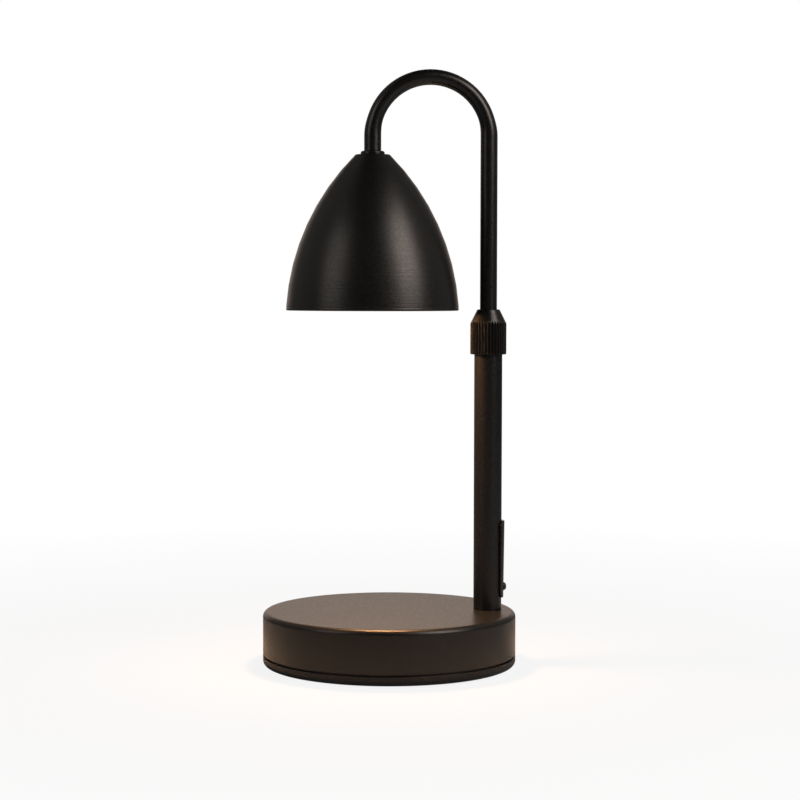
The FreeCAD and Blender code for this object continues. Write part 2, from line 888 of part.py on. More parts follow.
def make_post_stud():
    """Hollow stud through the base, which the leads pass down."""
    body = new_piece("post_stud", x=post_x)
    turned(body, "stud", ring(size.stud_bore_dia / 2, stud_radius, stud_low, stud_high))
    return body


def make_post_washer():
    """Plain washer under the weight."""
    body = new_piece("post_washer", x=post_x)
    hole = stud_radius + size.screw_hole_gap
    turned(body, "washer", ring(hole, size.washer_dia / 2, washer_low, weight_low))
    return body


def make_post_lock_washer():
    """Spring washer, slit on one side."""
    body = new_piece("post_lock_washer", x=post_x)
    radius = size.lock_washer_dia / 2
    hole = stud_radius + size.screw_hole_gap
    turned(body, "washer", ring(hole, radius, lock_washer_low, washer_low))
    slit = new_sketch(body, "slit_outline", "XY_Plane", washer_low)
    half = size.lock_washer_slit / 2
    draw_run(slit, box_corners(0, -half, radius + half, half))
    pocketed(body, slit, "slit", size.lock_washer_thickness)
    return body


def make_nut(label, x, flats, low, height, hole_radius):
    """Hexagon nut with its corners turned off at 30 degrees at both ends."""
    body = new_piece(label, x=x)
    outline = new_sketch(body, "hexagon", "XY_Plane", low)
    draw_run(outline, hexagon(flats))
    padded(body, outline, "blank", height)
    bore(body, "thread", 0, 0, hole_radius, low, low + height)
    inner = flats / 2
    outer = flats * size.nut_corner_reach / 2
    drop = (outer - inner) * math.tan(math.radians(30))
    high = low + height
    turned(body, "corners", [
        (inner, low), (outer, low), (outer, low + drop),
    ], [
        (inner, high), (outer, high - drop), (outer, high),
    ], cut=True)
    return body


def make_post_nut():
    """Nut that draws the post down on the base."""
    hole = stud_radius + size.thread_gap
    return make_nut("post_nut", post_x, size.nut_flats, nut_low, size.nut_height, hole)


def make_wiring_cover():
    """Curved plate over the window, with a key behind it that fills the window, held by one screw."""
    body = new_piece("wiring_cover", x=post_x)
    high = plate_low + size.plate_height
    low_radius = plate_inner + size.plate_low_thickness
    width_angle = angle_of(size.plate_width, plate_inner + size.plate_top_thickness)
    turned(body, "plate", [
        (plate_inner, plate_low),
        (low_radius, plate_low),
        (plate_inner + size.plate_top_thickness, high),
        (plate_inner, high),
    ], angle=width_angle)
    filleted(body, "corners", size.plate_corner, is_plate_corner)
    key_low = base_top + size.window_rise + size.plate_key_gap
    key_high = key_low + size.window_height - size.plate_key_gap * 2
    key_angle = angle_of(size.window_width - size.plate_key_gap * 2, post_radius)
    key_inner, key_outer = post_inner + size.plate_key_gap, plate_inner + size.plate_low_thickness / 2
    turned(body, "key", ring(key_inner, key_outer, key_low, key_high), angle=key_angle)
    spot = new_sketch(body, "screw_spot_circle", "YZ_Plane")
    draw_circle(spot, 0, plate_screw_height, size.plate_screw_head_dia / 2 + size.plate_key_gap)
    bind(spot, "AttachmentOffset.Base.z", plate_screw_seat)
    pocketed(body, spot, "screw_spot", size.plate_top_thickness, reverse=True)
    hole = size.plate_screw_dia / 2 + size.screw_hole_gap
    side_bore(body, "screw_hole", plate_screw_height, hole, plate_inner + size.plate_top_thickness)
    return body


def angle_of(chord, radius):
    """The angle, in degrees, that a chord covers on a circle."""
    half = chord / 2 / radius
    return Size(2 * math.degrees(math.asin(half.number)), f"(2 * asin({half.formula}))")


def is_plate_corner(edge):
    """True for the short edges that run outwards at the four corners of the plate."""
    first, last = edge.Vertexes[0].Point, edge.Vertexes[-1].Point
    level = abs(first.z - last.z) < same_place
    across = abs(math.hypot(first.x, first.y) - math.hypot(last.x, last.y))
    return level and across > size.plate_low_thickness.number / 2


def make_wiring_cover_screw():
    """Pan-head screw through the plate and the tube into the plug."""
    body = new_piece("wiring_cover_screw", x=post_x, z=plate_screw_height)
    tip = plate_screw_seat - size.plate_screw_length
    shank, head = size.plate_screw_dia / 2, size.plate_screw_head_dia / 2
    crown = plate_screw_seat + size.plate_screw_head_height
    bend = size.plate_screw_head_round
    turned(body, "screw", [
        (tip, 0),
        (crown, 0),
        (crown, head - bend, Round(crown - bend, head - bend)),
        (crown - bend, head),
        (plate_screw_seat, head),
        (plate_screw_seat, shank),
        (tip, shank),
    ], axis="H_Axis")
    return body


# ----------------------------------------------------------------------------------- clamp on the post


def make_post_ferrule():
    """Threaded top of the post, fixed in the tube by its spigot, with a pocket for the collet."""
    body = new_piece("post_ferrule", x=post_x)
    passage = arm_radius + size.collet_gap
    pocket = collet_radius + size.collet_gap
    head = size.ferrule_head_dia / 2
    turned(body, "ferrule", [
        (passage, ferrule_low),
        (plug_radius, ferrule_low),
        (plug_radius, post_high),
        (head, post_high),
        (head, ferrule_high),
        (pocket, ferrule_high),
        (pocket, ferrule_floor),
        (passage, ferrule_floor),
    ])
    return body


def make_grip_collet():
    """Slit nylon cone that the collar squeezes on the arm."""
    body = new_piece("grip_collet", x=post_x)
    turned(body, "cone", [
        (slide_bore, collet_low),
        (collet_radius, collet_low),
        (collet_radius, collet_shoulder),
        (collet_nose, collet_high),
        (slide_bore, collet_high),
    ])
    outline = new_sketch(body, "slit_outline", "XY_Plane", collet_high)
    half = size.collet_slit / 2
    draw_run(outline, box_corners(0, -half, collet_radius + half, half))
    slit = pocketed(body, outline, "slit", collet_high - collet_low - size.collet_slit_rise)
    repeated(body, "slits", [slit], size.collet_slit_count)
    return body


def make_lock_collar():
    """Knurled collar: a skirt over the post, a thread over the ferrule and a cone over the collet.

    The teeth are straight grooves cut from end to end, which run out in scallops on the taper.
    """
    body = new_piece("lock_collar", x=post_x)
    skirt = post_radius + size.collar_skirt_gap
    thread = size.ferrule_head_dia / 2 + size.collar_thread_gap
    skirt_end = post_high + size.collar_step_gap
    thread_end = ferrule_high + size.collar_end_gap
    cone_low = collet_radius + size.collet_gap
    cone_high = collet_nose + size.collet_gap
    step = collet_high + size.collar_step_gap
    nose_bore = arm_radius + size.collar_nose_gap
    taper_low = collar_high - size.collar_taper
    turned(body, "blank", [
        (skirt, collar_low),
        (collar_radius - size.collar_bevel, collar_low),
        (collar_radius, collar_low + size.collar_bevel),
        (collar_radius, taper_low),
        (size.collar_nose_dia / 2, collar_high),
        (nose_bore, collar_high),
        (nose_bore, step),
        (cone_high, step),
        (cone_high, collet_high),
        (cone_low, thread_end),
        (thread, thread_end),
        (thread, skirt_end),
        (skirt, skirt_end),
    ])
    outline = new_sketch(body, "groove_outline", "XY_Plane", collar_high)
    draw_run(outline, [
        (collar_radius - size.tooth_depth, 0),
        (collar_radius + size.tooth_depth, -size.tooth_groove),
        (collar_radius + size.tooth_depth, size.tooth_groove),
    ])
    groove = pocketed(body, outline, "groove", size.collar_height)
    repeated(body, "teeth", [groove], size.tooth_count)
    return body


# ----------------------------------------------------------------------------------- arm and its bush


def make_guide_bush():
    """Nylon bush that runs in the post and lets the arm turn, sunk at both ends for the clips."""
    body = new_piece("guide_bush", x=post_x)
    outer = post_inner - size.bush_gap
    sunk = size.clip_dia / 2 + size.clip_groove
    turned(body, "bush", [
        (sunk, bush_low),
        (outer, bush_low),
        (outer, bush_high),
        (sunk, bush_high),
        (sunk, bush_high - size.clip_sunk),
        (slide_bore, bush_high - size.clip_sunk),
        (slide_bore, bush_low + size.clip_sunk),
        (sunk, bush_low + size.clip_sunk),
    ])
    return body


def clip_heights():
    """The lower and upper face of each of the two clips."""
    low = bush_low + size.clip_sunk - size.clip_gap
    high = bush_high - size.clip_sunk + size.clip_gap
    return [(low - size.clip_thickness, low), (high, high + size.clip_thickness)]


def make_bush_clips():
    """Open spring rings in grooves of the arm, above and below the bush."""
    body = new_piece("bush_clips", x=post_x)
    inner = arm_radius - size.clip_groove + size.thread_gap
    rings = [ring(inner, size.clip_dia / 2, low, high) for low, high in clip_heights()]
    turned(body, "rings", *rings, angle=360 - size.clip_opening)
    return body


def make_arm_tube():
    """Tube bent through a half turn: a long leg in the post and a short one over the shade."""
    body = new_piece("arm_tube", x=post_x)
    section = new_sketch(body, "section", "XY_Plane", arm_low)
    draw_circle(section, 0, 0, arm_radius)
    draw_circle(section, 0, 0, arm_inner)
    path = new_sketch(body, "path", "XZ_Plane")
    across = -(size.arm_bend * 2)
    draw_run(path, [
        (0, arm_low),
        (0, bend_height, Round(-size.arm_bend, bend_height)),
        (-size.arm_bend, bend_height + size.arm_bend, Round(-size.arm_bend, bend_height)),
        (across, bend_height),
        (across, arm_end),
    ], closed=False)
    bent = body.newObject("PartDesign::AdditivePipe", "bent_tube")
    bent.Profile = section
    bent.Spine = (path, ["Edge1", "Edge2", "Edge3", "Edge4"])
    finish_feature(body, bent, False)
    groove = arm_radius - size.clip_groove
    grooves = [
        ring(groove, arm_radius + size.clip_groove, low - size.thread_gap, high + size.thread_gap)
        for low, high in clip_heights()
    ]
    turned(body, "clip_grooves", *grooves, cut=True)
    return body


# ------------------------------------------------------------------------------------- neck and shade


def make_neck_ring():
    """Turned ring between the end of the arm and the crown of the shade."""
    body = new_piece("neck_ring", x=lamp_x)
    outer = size.neck_ring_dia / 2
    turned(body, "ring", [
        (neck_bore, shade_top),
        (outer, shade_top),
        (outer, arm_end - size.neck_ring_bevel),
        (outer - size.neck_ring_bevel, arm_end),
        (neck_bore, arm_end),
    ])
    return body


def make_neck_nipple():
    """Hollow threaded nipple that joins arm, ring, shade and bracket."""
    body = new_piece("neck_nipple", x=lamp_x)
    high = arm_end + size.nipple_reach
    turned(body, "nipple", ring(size.nipple_bore_dia / 2, nipple_radius, nipple_low, high))
    return body


def make_shade():
    """Spun bell. Its side is one arc, the same outside and inside, and its edge is rolled in to a bead."""
    body = new_piece("shade", x=lamp_x)
    rim, crown = size.shade_dia / 2, size.shade_crown_dia / 2
    bead = size.shade_bead
    bead_height = shade_low + bead
    fall, spread = shade_top - bead_height, rim - crown
    chord = root(fall * fall + spread * spread)
    depth = root(size.shade_bulge * size.shade_bulge - chord * chord / 4)
    centre_x = (rim + crown) / 2 - fall / chord * depth
    centre_z = (shade_top + bead_height) / 2 - spread / chord * depth
    inner = size.shade_bulge - size.shade_wall

    def inside(height):
        drop = height - centre_z
        return centre_x + root(inner * inner - drop * drop)

    hole = nipple_radius + size.neck_hole_gap
    bead_top = bead_height + bead
    turned(body, "bell", [
        (hole, shade_top),
        (hole, shade_under),
        (inside(shade_under), shade_under, Round(centre_x, centre_z, clockwise=True)),
        (inside(bead_top), bead_top),
        (rim - bead * 2, bead_height, Round(rim - bead, bead_height)),
        (rim, bead_height, Round(centre_x, centre_z)),
        (crown, shade_top),
    ])

    def is_crown_edge(edge):
        return is_circle_at(edge, crown, shade_top)

    filleted(body, "crown_edge", size.shade_crown_round, is_crown_edge)
    return body


def is_circle_at(edge, radius, height):
    """True for a full circle about the piece's axis with this radius and height."""
    curve = edge.Curve
    if curve.TypeId != "Part::GeomCircle":
        return False
    same_radius = abs(curve.Radius - radius.number) < same_place
    return same_radius and abs(curve.Center.z - height.number) < same_place


def make_neck_washer():
    """Plain washer under the web of the bracket."""
    body = new_piece("neck_washer", x=lamp_x)
    turned(body, "washer", ring(neck_bore, size.neck_washer_dia / 2, neck_washer_low, web_low))
    return body


def make_neck_nut():
    """Nut that draws bracket, shade and ring up against the arm."""
    return make_nut("neck_nut", lamp_x, size.neck_nut_flats, neck_nut_low, size.neck_nut_height, neck_bore)


def make_holder_bracket():
    """Steel strap bent like a hat: its web hangs under the shade's crown, its feet carry the lampholder."""
    body = new_piece("holder_bracket", x=lamp_x)
    thick = size.bracket_thickness
    web, span = size.bracket_web / 2, size.bracket_span / 2
    shoulder = holder_high + size.bracket_leg
    foot_end = span - size.bracket_foot
    across, along = span - web, shade_under - shoulder
    web_inner = web - thick * miter(across, along)
    shoulder_inner = shoulder - thick * miter(along, across)
    right = [
        (foot_end, holder_high),
        (span, holder_high),
        (span, shoulder),
        (web, shade_under),
    ]
    right_inner = [
        (web_inner, web_low),
        (span - thick, shoulder_inner),
        (span - thick, holder_high + thick),
        (foot_end, holder_high + thick),
    ]
    left = [(-x, z) for x, z in reversed(right)]
    left_inner = [(-x, z) for x, z in reversed(right_inner)]
    outline = new_sketch(body, "strap_outline", "XZ_Plane")
    draw_run(outline, right + left + left_inner + right_inner)
    padded(body, outline, "strap", size.bracket_width, both_ways=True)
    bore(body, "nipple_hole", 0, 0, nipple_radius + size.neck_hole_gap, web_low, shade_under)
    hole = size.holder_screw_dia / 2 + size.thread_gap
    place = size.holder_screw_spacing / 2
    screw_hole = bore(body, "screw_hole", place, 0, hole, holder_high, holder_high + thick)
    repeated(body, "screw_holes", [screw_hole], pair)
    return body


# -------------------------------------------------------------------------------- twist-lock lampholder

pin_angle = Size(90)
entry_angle = pin_angle - size.twist_angle
head_way = size.pin_head_dia / 2 + size.pin_side_gap
shank_way = size.pin_dia / 2 + size.pin_side_gap


def make_lampholder_body():
    """Ceramic body: two curved pockets for the pin heads, a wire hole over each, and two screw holes."""
    body = new_piece("lampholder_body", x=lamp_x)
    radius = size.holder_dia / 2
    turned(body, "block", [
        (0, face_high),
        (radius, face_high),
        (radius, holder_high - size.holder_bevel),
        (radius - size.holder_bevel, holder_high),
        (0, holder_high),
    ])
    pockets = new_sketch(body, "pocket_outline", "XY_Plane", contact_high)
    arc_slot(pockets, pin_circle, head_way, entry_angle, pin_angle)
    pocket = pocketed(body, pockets, "pocket", contact_high - face_high)
    wire_hole = size.crimp_dia / 2 + size.thread_gap
    wire = bore(body, "wire_hole", 0, pin_circle, wire_hole, contact_high, holder_high)
    hole = size.holder_screw_dia / 2 + size.screw_hole_gap
    screw = bore(body, "screw_hole", size.holder_screw_spacing / 2, 0, hole, face_high, holder_high)
    repeated(body, "both_sides", [pocket, wire, screw], pair)
    return body


def make_lampholder_face():
    """Front plate with the two keyhole slots that the lamp's pins enter and turn in."""
    body = new_piece("lampholder_face", x=lamp_x)
    radius = size.holder_dia / 2
    bevel = size.holder_bevel / 2
    turned(body, "plate", [
        (0, face_low),
        (radius - bevel, face_low),
        (radius, face_low + bevel),
        (radius, face_high),
        (0, face_high),
    ])
    slots = new_sketch(body, "slot_outline", "XY_Plane", face_high)
    arc_slot(slots, pin_circle, shank_way, entry_angle, pin_angle)
    slot = pocketed(body, slots, "slot", size.face_thickness)
    entry_x, entry_y = pin_circle * cosine(entry_angle), pin_circle * sine(entry_angle)
    entry = bore(body, "entry", entry_x, entry_y, head_way, face_low, face_high)
    place = size.holder_screw_spacing / 2
    recess_radius = size.holder_screw_head_dia / 2 + size.pin_side_gap
    recess = bore(body, "recess", place, 0, recess_radius, face_low, face_floor)
    hole_radius = size.holder_screw_dia / 2 + size.screw_hole_gap
    hole = bore(body, "screw_hole", place, 0, hole_radius, face_floor, face_high)
    repeated(body, "both_sides", [slot, entry, recess, hole], pair)
    return body


def make_lampholder_contacts():
    """Brass contacts on the roofs of the pockets, each with a crimp up its wire hole."""
    body = new_piece("lampholder_contacts", x=lamp_x)
    plate = pin(body, "plate", 0, pin_circle, size.contact_dia / 2, contact_low, contact_high)
    crimp = pin(body, "crimp", 0, pin_circle, size.crimp_dia / 2, contact_high, crimp_high)
    repeated(body, "both_sides", [plate, crimp], pair)
    return body


def make_lampholder_screws():
    """Two screws through face and body into the tapped feet of the bracket."""
    body = new_piece("lampholder_screws", x=lamp_x)
    centre = size.holder_screw_spacing / 2
    shank, head = centre + size.holder_screw_dia / 2, centre + size.holder_screw_head_dia / 2
    head_low = face_floor - size.holder_screw_head_height
    tip = holder_high + size.bracket_thickness + size.holder_screw_tail
    screw = turned(body, "screw", [
        (centre, head_low),
        (head, head_low),
        (head, face_floor),
        (shank, face_floor),
        (shank, tip),
        (centre, tip),
    ], about=centre)
    repeated(body, "screws", [screw], pair)
    return body


# ----------------------------------------------------------------------------------------- the lamp

lamp_radius = size.lamp_dia / 2
bowl_high = lamp_high - size.lamp_base_height
bowl_low = lamp_low + size.lamp_rim_height
stem_low = bowl_high - size.stem_height


def make_lamp_base():
    """Ceramic base of the lamp, with the stem that carries the capsule."""
    body = new_piece("lamp_base", x=lamp_x)
    stem = size.stem_dia / 2
    turned(body, "base", [
        (0, stem_low),
        (stem, stem_low),
        (stem, bowl_high),
        (size.lamp_neck_dia / 2, bowl_high),
        (size.lamp_base_dia / 2, lamp_high),
        (0, lamp_high),
    ])
    return body


def make_lamp_reflector():
    """Pressed glass bowl with a flat rim that holds the front lens on a ledge."""
    body = new_piece("lamp_reflector", x=lamp_x)
    wall = size.lamp_wall
    neck = size.lamp_neck_dia / 2
    flank = lamp_radius - wall / 2
    fall, spread = bowl_high - bowl_low, flank - neck
    chord = root(fall * fall + spread * spread)
    depth = root(size.lamp_bowl_radius * size.lamp_bowl_radius - chord * chord / 4)
    centre_x = (flank + neck) / 2 - fall / chord * depth
    centre_z = (bowl_high + bowl_low) / 2 - spread / chord * depth
    inner = size.lamp_bowl_radius - wall

    def inside(height):
        drop = height - centre_z
        return centre_x + root(inner * inner - drop * drop)

    ledge = lamp_low + size.lens_sunk + size.lens_thickness
    stem_way = size.stem_dia / 2 + size.lens_gap
    turned(body, "bowl", [
        (stem_way, bowl_high),
        (stem_way, bowl_high - wall),
        (inside(bowl_high - wall), bowl_high - wall, Round(centre_x, centre_z, clockwise=True)),
        (inside(bowl_low), bowl_low),
        (inside(bowl_low), ledge),
        (lamp_radius - wall, ledge),
        (lamp_radius - wall, lamp_low),
        (lamp_radius, lamp_low),
        (lamp_radius, bowl_low),
        (flank, bowl_low, Round(centre_x, centre_z)),
        (neck, bowl_high),
    ])
    return body


def make_lamp_lens():
    """Flat glass front, against the ledge in the rim."""
    body = new_piece("lamp_lens", x=lamp_x)
    low = lamp_low + size.lens_sunk
    radius = lamp_radius - size.lamp_wall - size.lens_gap
    turned(body, "disc", box_corners(0, low, radius, low + size.lens_thickness))
    return body


def make_lamp_capsule():
    """Quartz capsule with a domed end, standing on the stem."""
    body = new_piece("lamp_capsule", x=lamp_x)
    outer = size.capsule_dia / 2
    inner = outer - size.capsule_wall
    low = stem_low - size.capsule_length
    dome = low + outer
    turned(body, "envelope", [
        (0, low, Round(0, dome)),
        (outer, dome),
        (outer, stem_low),
        (inner, stem_low),
        (inner, dome, Round(0, dome, clockwise=True)),
        (0, low + size.capsule_wall),
    ])
    return body


def make_lamp_filament():
    """Coiled filament across the capsule, on two wires from the stem."""
    body = new_piece("lamp_filament", x=lamp_x)
    half = size.filament_length / 2
    height = stem_low - size.filament_height
    wires = new_sketch(body, "wire_circles", "XY_Plane", height)
    for side in (-1, 1):
        draw_circle(wires, (half - size.filament_wire_dia) * side, 0, size.filament_wire_dia / 2)
    padded(body, wires, "wires", size.filament_height)
    coil = new_sketch(body, "coil_circle", "YZ_Plane")
    draw_circle(coil, 0, height, size.filament_dia / 2)
    padded(body, coil, "coil", size.filament_length, both_ways=True)
    return body


def make_lamp_pins():
    """Two headed pins on the end of the lamp."""
    body = new_piece("lamp_pins", x=lamp_x, turn=pin_angle)
    shank, head = pin_circle + size.pin_dia / 2, pin_circle + size.pin_head_dia / 2
    bend = size.pin_head_round
    made = turned(body, "pin", [
        (pin_circle, lamp_high),
        (shank, lamp_high),
        (shank, pin_head_low),
        (head, pin_head_low),
        (head, pin_high - bend, Round(head - bend, pin_high - bend)),
        (head - bend, pin_high),
        (pin_circle, pin_high),
    ], about=pin_circle)
    repeated(body, "pins", [made], pair)
    return body


# ------------------------------------------------------------------------------------------- wiring

arc_share = 0.45  # how much of the shorter run beside it a bend of a lead takes
volume_error = 0.01

def make_slack_lead():
    """The slack of the lead, coiled in the post between plug and arm: the outer shape of its turns."""
    body = new_piece("slack_lead", x=post_x)
    pin(body, "coil", 0, 0, size.coil_dia / 2, plug_high, lead_low)
    return body


def rounded_route(points):
    """Straight runs joined by tangent arcs, each arc as large as its two runs allow."""
    edges, start = [], points[0]
    for before, corner, after in zip(points, points[1:], points[2:]):
        arriving, leaving = corner - before, after - corner
        back, ahead = Vector(arriving).normalize(), Vector(leaving).normalize()
        cut = arc_share * min(arriving.Length, leaving.Length)
        turn = back.getAngle(ahead)
        radius = cut / math.tan(turn / 2)
        arc_start, arc_end = corner - back * cut, corner + ahead * cut
        inwards = (ahead - back).normalize()
        middle = corner + inwards * (radius / math.cos(turn / 2) - radius)
        edges.append(Part.LineSegment(start, arc_start).toShape())
        edges.append(Part.Arc(arc_start, middle, arc_end).toShape())
        start = arc_end
    edges.append(Part.LineSegment(start, points[-1]).toShape())
    return edges


def make_leads(label, route_of_side):
    """Sweeps the two cores of a lead, each along its own route, as one group of solids."""
    radius = size.lead_dia.number / 2
    cores = []
    for side in (-1, 1):
        edges = route_of_side(side)
        path = Part.Wire(edges)
        start = edges[0].valueAt(edges[0].FirstParameter)
        heading = edges[0].tangentAt(edges[0].FirstParameter)
        section = Part.Wire(Part.Circle(start, heading, radius).toShape())
        core = path.makePipeShell([section], True, True)
        expected = math.pi * radius**2 * path.Length
        if abs(core.Volume - expected) > volume_error * expected:
            raise RuntimeError(f"{label} came out at {core.Volume:.1f} mm3, not {expected:.1f}")
        cores.append(core)
    leads = document.addObject("Part::Feature", label)
    leads.Label = label
    leads.Shape = Part.makeCompound(cores)
    return leads


def make_arm_leads():
    """From the coil up the arm, round its bend, down the nipple, and apart to the two contacts."""
    leg_x, shade_x = post_x.number, lamp_x.number
    bend_z, bend = bend_height.number, size.arm_bend.number
    contact_y = pin_circle.number
    spread_start = nipple_low.number - size.lead_straight.number
    spread_end = holder_high.number + size.lead_straight.number

    def route(side):
        y = side * size.lead_spacing.number / 2
        rise = Part.LineSegment(Vector(leg_x, y, lead_low.number), Vector(leg_x, y, bend_z))
        top = Vector(leg_x - bend, y, bend_z + bend)
        over = Part.Arc(Vector(leg_x, y, bend_z), top, Vector(shade_x, y, bend_z))
        down = rounded_route([
            Vector(shade_x, y, bend_z),
            Vector(shade_x, y, spread_start),
            Vector(shade_x, side * contact_y, spread_end),
            Vector(shade_x, side * contact_y, crimp_high.number),
        ])
        return [rise.toShape(), over.toShape()] + down

    return make_leads("arm_leads", route)


def make_base_leads():
    """From the coil down through plug and stud, then along under the weight to the terminal block."""
    stud_x, port_z = post_x.number, barrel_height.number
    floor_z = cover_inside.number + size.lead_dia.number
    port_x = size.terminal_place.number + size.terminal_length.number / 2
    run = stud_x - port_x
    turn_up, turn_in = stud_x - run / 3, port_x + run / 5

    def route(side):
        y = side * size.lead_spacing.number / 2
        port_y = side * size.terminal_pitch.number / 2
        return rounded_route([
            Vector(stud_x, y, plug_high.number),
            Vector(stud_x, y, floor_z),
            Vector(turn_up, y, floor_z),
            Vector(turn_in, port_y, port_z),
            Vector(port_x - size.lead_strip.number, port_y, port_z),
        ])

    return make_leads("base_leads", route)


PIECES = [
    make_base_shell(),
    make_base_weight(),
    make_bottom_cover(),
    make_cover_screws(),
    make_rubber_feet(),
    make_cord_bushing(),
    make_terminal_block(),
    make_terminal_barrels(),
    make_terminal_screws(),
    make_terminal_fixing_screw(),
    make_post_tube(),
    make_post_plug(),
    make_post_stud(),
    make_post_washer(),
    make_post_lock_washer(),
    make_post_nut(),
    make_wiring_cover(),
    make_wiring_cover_screw(),
    make_post_ferrule(),
    make_grip_collet(),
    make_lock_collar(),
    make_guide_bush(),
    make_bush_clips(),
    make_arm_tube(),
    make_neck_ring(),
    make_neck_nipple(),
    make_shade(),
    make_holder_bracket(),
    make_neck_washer(),
    make_neck_nut(),
    make_lampholder_body(),
    make_lampholder_face(),
    make_lampholder_contacts(),
    make_lampholder_screws(),
    make_lamp_base(),
    make_lamp_reflector(),
    make_lamp_lens(),
    make_lamp_capsule(),
    make_lamp_filament(),
    make_lamp_pins(),
    make_slack_lead(),
    make_arm_leads(),
    make_base_leads(),
]

document.recompute()
for thing in document.Objects:
    if "Invalid" in thing.State or "Error" in thing.State:
        raise RuntimeError(f"{thing.Name} failed: {thing.State}")
for piece in PIECES:
    if piece.Shape.isNull() or not piece.Shape.isValid() or not piece.Shape.Solids:
        raise RuntimeError(f"{piece.Label} has no valid solid")
os.makedirs("parts", exist_ok=True)
for piece in PIECES:
    piece.Shape.exportStep(f"parts/{piece.Label}.step")
print(f"{len(PIECES)} pieces written")
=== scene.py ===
import json
import math

import bmesh
import bpy
from mathutils import Matrix, Vector


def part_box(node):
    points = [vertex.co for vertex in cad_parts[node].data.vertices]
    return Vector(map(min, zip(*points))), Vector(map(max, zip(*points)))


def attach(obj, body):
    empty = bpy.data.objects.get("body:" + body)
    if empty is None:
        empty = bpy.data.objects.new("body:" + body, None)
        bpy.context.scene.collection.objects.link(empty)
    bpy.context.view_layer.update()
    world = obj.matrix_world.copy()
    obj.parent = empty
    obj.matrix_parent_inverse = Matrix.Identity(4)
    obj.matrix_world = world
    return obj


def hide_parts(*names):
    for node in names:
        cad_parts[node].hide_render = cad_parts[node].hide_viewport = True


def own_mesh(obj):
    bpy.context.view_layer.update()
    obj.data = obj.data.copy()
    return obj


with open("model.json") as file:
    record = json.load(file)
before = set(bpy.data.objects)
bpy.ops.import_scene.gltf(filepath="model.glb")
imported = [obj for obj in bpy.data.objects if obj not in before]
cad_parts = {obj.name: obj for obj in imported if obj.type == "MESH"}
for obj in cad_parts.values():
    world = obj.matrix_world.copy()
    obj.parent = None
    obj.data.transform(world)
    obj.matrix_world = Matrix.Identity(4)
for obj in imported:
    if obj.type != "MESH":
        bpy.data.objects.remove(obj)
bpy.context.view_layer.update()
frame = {"nodes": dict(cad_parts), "record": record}

# A candle warmer lamp: a heavy round base, a post at its edge, and a crooked arm that slides in the post
# and hangs a bell shade with a halogen lamp over the place of the candle.
# Metres. Z is up from the table, the post stands on +X and the cord enters on +Y.


# --------------------------------------------------------------------------------------- camera and light
# A white studio: a long lens that looks down a little, a large soft light in front on the right, a weaker
# one on the left, and a wide weak one at each side. The white backdrop also shows in gloss and glass, and
# the side behind the camera is dark.

scene = bpy.context.scene
scene.view_settings.view_transform = "Standard"


def add(tree, kind, **inputs):
    """A node of this kind. Its inputs are set by name, to a number, a colour or another node's output."""
    node = tree.nodes.new(kind)
    fill(tree, node, **inputs)
    return node


def fill(tree, node, **inputs):
    """Sets a node's inputs by name, as add does."""
    for name, value in inputs.items():
        socket = node.inputs[name.replace("_", " ")]
        if isinstance(value, bpy.types.NodeSocket):
            tree.links.new(value, socket)
        else:
            socket.default_value = value


def ramp(tree, factor, *stops):
    """A colour that runs through the stops, each a place from 0 to 1 and a colour."""
    node = add(tree, "ShaderNodeValToRGB", Fac=factor)
    places = node.color_ramp.elements
    while len(places) < len(stops):
        places.new(1.0)
    for place, (position, colour) in zip(places, stops):
        place.position = position
        place.color = (*colour, 1.0)
    return node.outputs["Color"]


camera_place = Vector((-0.0908, -1.1195, 0.2059))
camera_heading = math.radians(-4.93)
camera_fall = math.radians(2.99)
camera_roll = math.radians(0.1)

camera = bpy.data.objects.new("camera", bpy.data.cameras.new("camera"))
camera.data.lens = 91.8
camera.data.sensor_width = 36.0
heading = Matrix.Rotation(camera_heading, 4, "Z") @ Matrix.Rotation(math.pi / 2 - camera_fall, 4, "X")
camera.matrix_world = Matrix.Translation(camera_place) @ heading @ Matrix.Rotation(camera_roll, 4, "Z")
scene.collection.objects.link(camera)
scene.camera = camera

lit_middle = Vector((0.0, 0.0, 0.16))


def softbox(name, bearing, rise, distance, size, watts, colour):
    """A soft light at this bearing from the camera's side, to the right, and at this angle above level."""
    light = bpy.data.lights.new(name, "AREA")
    light.shape = "RECTANGLE"
    light.size, light.size_y = size
    light.energy = watts
    light.color = colour
    lamp = bpy.data.objects.new(name, light)
    turn = Matrix.Rotation(camera_heading + math.radians(bearing), 3, "Z")
    out = turn @ Vector((0.0, -math.cos(math.radians(rise)), math.sin(math.radians(rise))))
    place = lit_middle + out * distance
    lamp.matrix_world = Matrix.Translation(place) @ out.to_track_quat("Z", "Y").to_matrix().to_4x4()
    lamp.visible_camera = False
    scene.collection.objects.link(lamp)


warm_light, cream_light, pale_light = (1.0, 0.9, 0.83), (1.0, 0.93, 0.87), (1.0, 0.97, 0.95)
softbox("right_softbox", bearing=53, rise=33, distance=1.2, size=(0.6, 0.8), watts=10.0, colour=warm_light)
softbox("left_softbox", bearing=-57, rise=26, distance=1.3, size=(0.6, 0.75), watts=2.8, colour=cream_light)
softbox("left_rim_light", bearing=-108, rise=34, distance=1.3, size=(1.2, 1.7), watts=1.3, colour=pale_light)
softbox("right_rim_light", bearing=118, rise=32, distance=1.3, size=(1.2, 1.6), watts=1.1, colour=pale_light)

# The backdrop starts, and is full, where this much of a ray's direction is straight back.
backdrop_start, backdrop_full = 0.8, 0.95
dark_room, lit_backdrop = (0.008, 0.008, 0.008), (0.92, 0.76, 0.66)
colour_a, colour_b, colour_out = 6, 7, 2  # a Mix node's sockets for colours, as several share a name

